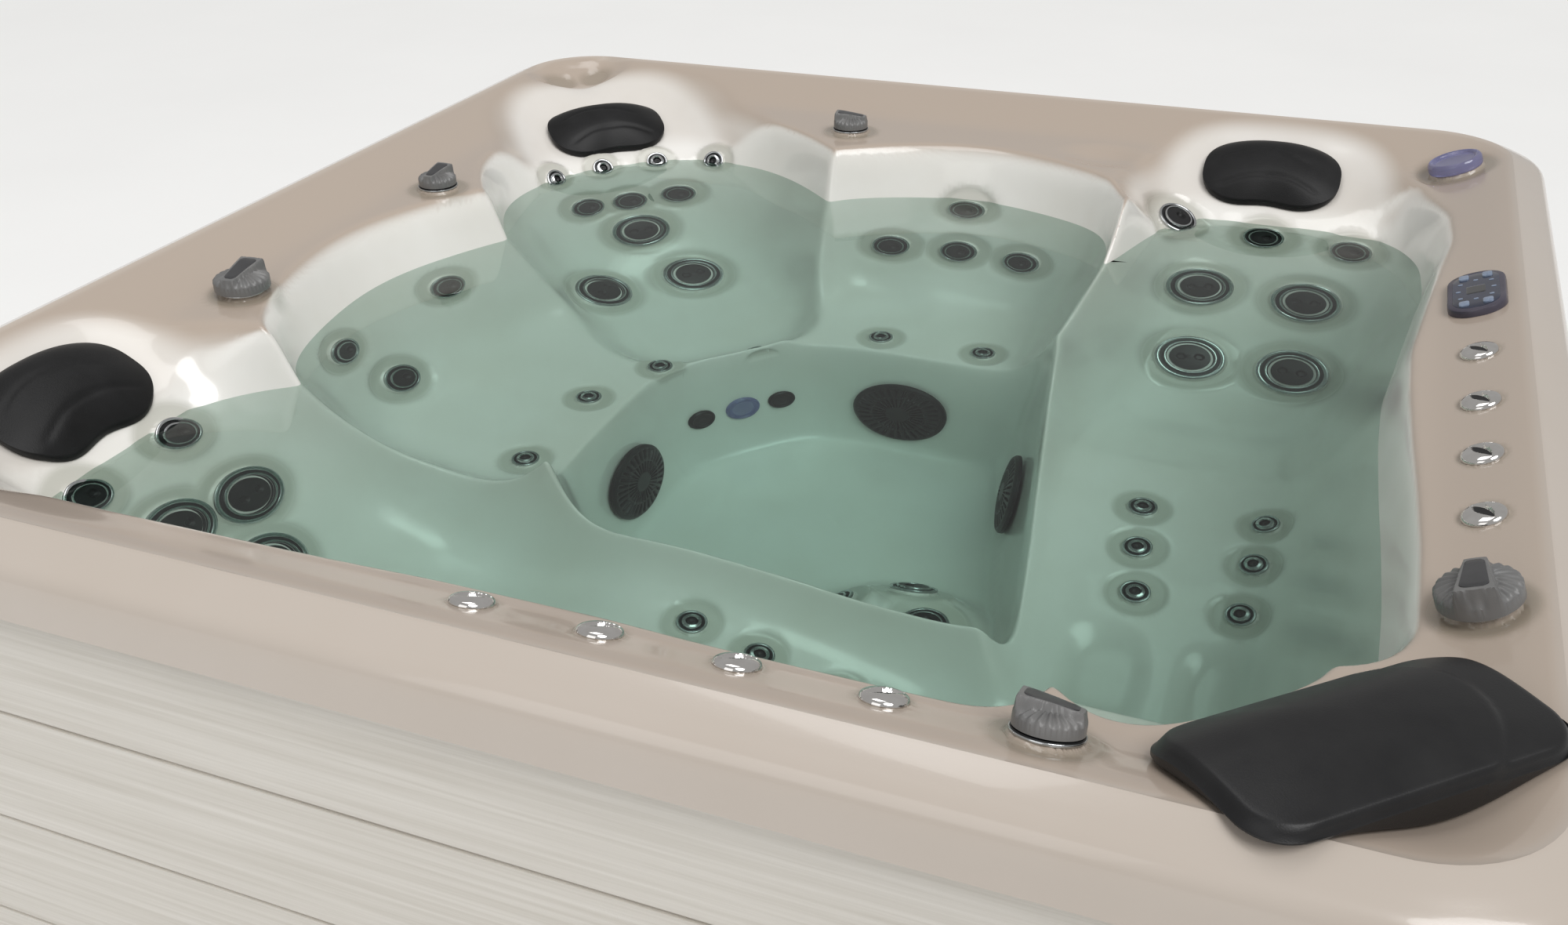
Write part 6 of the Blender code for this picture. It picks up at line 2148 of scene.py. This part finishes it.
@dataclass
class FilterCartridge:
    """The filter cartridge: pleated polyester between two urethane end caps."""

    basin: Basin
    at: tuple[float, float] = (0.835, -0.855)
    low: float = -0.5017          # its foot below the crease
    length: float = 0.30
    radius: float = 0.0555
    bore: float = 0.022
    pleats: int = 64
    pleat: float = 0.009
    cap: float = 0.014

    def build(self) -> None:
        """Builds the pleats and the caps."""
        unit = self.basin.rim_half
        place = Matrix.Translation((self.at[0] * unit, self.at[1] * unit, self.basin.rim_z + self.low))
        bm = bmesh.new()
        for low, high in ((0, self.cap), (self.length - self.cap, self.length)):
            ring_into(bm, self.bore, self.radius, low, high, place, 1)
        rings = []
        for z in (self.cap * 0.6, self.length - self.cap * 0.6):
            rings.append([bm.verts.new(place @ Vector((r * math.cos(a), r * math.sin(a), z)))
                          for k, a in enumerate(even_turns(2 * self.pleats))
                          for r in [self.radius - 0.002 - self.pleat * (k % 2)]])
        for z in (self.length - self.cap * 0.6, self.cap * 0.6):
            rings.append([bm.verts.new(place @ spot) for spot in circle(self.bore, z, 2 * self.pleats)])
        join_rings(bm, rings + [rings[0]])
        add_piece("cartridge_pleated", bm, (PAPER, END_CAP), nodes=["filter_cartridge"])


# Carried-over nodes


@dataclass
class Carcass:
    """The pieces whose solids are right as they are: tray, frame, cabinet, bucket and pump set."""

    finishes: dict[str, Finish] = field(default_factory=lambda: {
        "base_tray": ABS_BLACK, "support_frame": GALVANISED, "footwell_support": FOAM,
        "front_panel": BOARD, "right_panel": BOARD, "back_panel": BOARD, "left_panel": BOARD,
        "front_left_corner": BOARD, "front_right_corner": BOARD, "back_right_corner": BOARD,
        "back_left_corner": BOARD, "filter_bucket": ABS_BLACK, "weir_flap": ABS_GREY,
        "pump_motor": ENAMEL, "pump_wet_end": ABS_BLACK, "heater": STEEL, "control_box": ABS_GREY,
        "air_blower": ABS_BLACK,
    })
    rounding: float = 0.0015

    def build(self, nodes: dict[str, Object]) -> None:
        """Dresses the nodes and breaks their edges.

        Args:
            nodes: The frame's CAD nodes by name.
        """
        for name, finish in self.finishes.items():
            node = nodes[name]
            for slot in node.material_slots:
                slot.link = "OBJECT"
                slot.material = finish.material()
            edge = node.modifiers.new("broken_edge", "BEVEL")
            edge.width, edge.segments, edge.limit_method = self.rounding, 2, "ANGLE"
            edge.angle_limit = SHARP


# Studio


@dataclass
class Studio:
    """A pale floor, soft lights and a camera where the photographer stood."""

    camera_at: tuple[float, float, float] = (0.7443768, -1.95839675, 1.72559445)
    right: tuple[float, float, float] = (0.92891623, 0.36991003, -0.0167693)
    up: tuple[float, float, float] = (-0.1705916, 0.46770495, 0.86726616)
    forward: tuple[float, float, float] = (-0.32865353, 0.80275691, -0.49756226)
    sensor: float = 36.0
    focal_share: float = 0.930545  # focal length over the sensor's width
    floor_half: float = 14
    sky: str = "#FBFAF8"
    sky_strength: float = 0.43
    aim: tuple[float, float, float] = (0, 0, 0.6)       # where every lamp points

    def build(self) -> None:
        """Builds the camera, the floor, the sky and the lights."""
        data = bpy.data.cameras.new("photo_camera")
        data.sensor_width, data.lens = self.sensor, self.sensor * self.focal_share
        camera = bpy.data.objects.new("photo_camera", data)
        bpy.context.collection.objects.link(camera)
        axes = Matrix((self.right, self.up, [-c for c in self.forward])).transposed().to_4x4()
        camera.matrix_world = Matrix.Translation(self.camera_at) @ axes
        bpy.context.scene.camera = camera
        self.floor()
        self.lights()

    def floor(self) -> None:
        """Lays the floor."""
        bm = bmesh.new()
        bmesh.ops.create_grid(bm, x_segments=8, y_segments=8, size=self.floor_half)
        mesh = bpy.data.meshes.new("studio_floor")
        bm.to_mesh(mesh)
        bm.free()
        mesh.materials.append(FLOOR.material())
        floor = bpy.data.objects.new("studio_floor", mesh)
        bpy.context.collection.objects.link(floor)

    def lights(self) -> None:
        """Hangs the soft boxes and sets the sky."""
        world = bpy.data.worlds.new("pale_studio")
        world.use_nodes = True
        sky = world.node_tree.nodes["Background"]
        sky.inputs["Color"].default_value = linear(self.sky)
        sky.inputs["Strength"].default_value = self.sky_strength
        bpy.context.scene.world = world
        bpy.context.scene.view_settings.view_transform = "Standard"
        for name, kind, at, size, power in (
                ("key_light", "SUN", (1.5, -0.9, 3.3), math.radians(36), 1.75),
                ("front_box", "AREA", (-0.6, -3.4, 2.6), 2.2, 14),
                ("top_box", "AREA", (-0.4, 0.2, 4.2), 1.8, 26)):
            data = bpy.data.lights.new(name, kind)
            data.energy = power
            setattr(data, "angle" if kind == "SUN" else "size", size)
            lamp = bpy.data.objects.new(name, data)
            lamp.location = at
            lamp.rotation_euler = (Vector(self.aim) - Vector(at)).to_track_quat("-Z", "Y").to_euler()
            bpy.context.collection.objects.link(lamp)


def joint_frames(joints: Sequence[dict]) -> dict[str, Matrix]:
    """Gives a frame for each turning or pressed piece, with Z out along its joint's axis.

    Args:
        joints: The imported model's joints.

    Returns:
        The frames by the piece's name.
    """
    made = {}
    for joint in joints:
        axis = Vector(joint["axis"]).normalized()
        name = joint["name"].removesuffix("_turn").removesuffix("_press")
        if "pos_m" in joint:
            spot = Vector(joint["pos_m"])
        elif name in ControlPanel.buttons:
            low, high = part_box(name)
            axis, spot = -axis, (Vector(low) + Vector(high)) / 2
        else:
            continue
        made[name] = Matrix.Translation(spot) @ axis.to_track_quat("Z", "Y").to_matrix().to_4x4()
    return made


def main(frame: dict) -> None:
    """Builds and dresses the tub, piece by piece.

    Args:
        frame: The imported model's frame.
    """
    logging.basicConfig(level=logging.INFO, format="%(name)s: %(message)s")
    Studio().build()
    basin = Basin()
    joints = joint_frames(frame["joints"])
    recesses = []
    for bank in BANKS:
        fittings = bank.fittings(basin, joints)
        bank.build(basin, fittings)
        recesses += [fitting.recess() for fitting in fittings]
        for fitting in fittings:
            if fitting.kind is Kind.LARGE:
                TurningFace(fitting.joint, fitting.place).build()
            if fitting.kind is Kind.VALVE:
                Knob(fitting.joint, fitting.place, KNOB_SCALES.get(fitting.joint, 1.0)).build()
        LOG.info("%s: %d fittings", bank.name, len(fittings))
    cup = LightCup(basin)
    recesses.append(cup.recess())
    for part in (FootwellFittings(basin), cup, ControlPanel(joints)):
        part.build()
        LOG.info("%s built", type(part).__name__)
    shell = FormedShell(basin).build(recesses)
    LOG.info("FormedShell: %d faces", len(shell.data.polygons))
    pillows = [Pillow(basin, *place) for place in PILLOWS]
    for part in (Pool(basin), *pillows, FilterLid(basin), FilterCartridge(basin)):
        part.build()
        LOG.info("%s built", type(part).__name__)
    Carcass().build(frame["nodes"])
    LOG.info("Carcass: tray, frame, cabinet, bucket and pump set dressed")


if __name__ == "__main__":
    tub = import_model()
    main(tub)
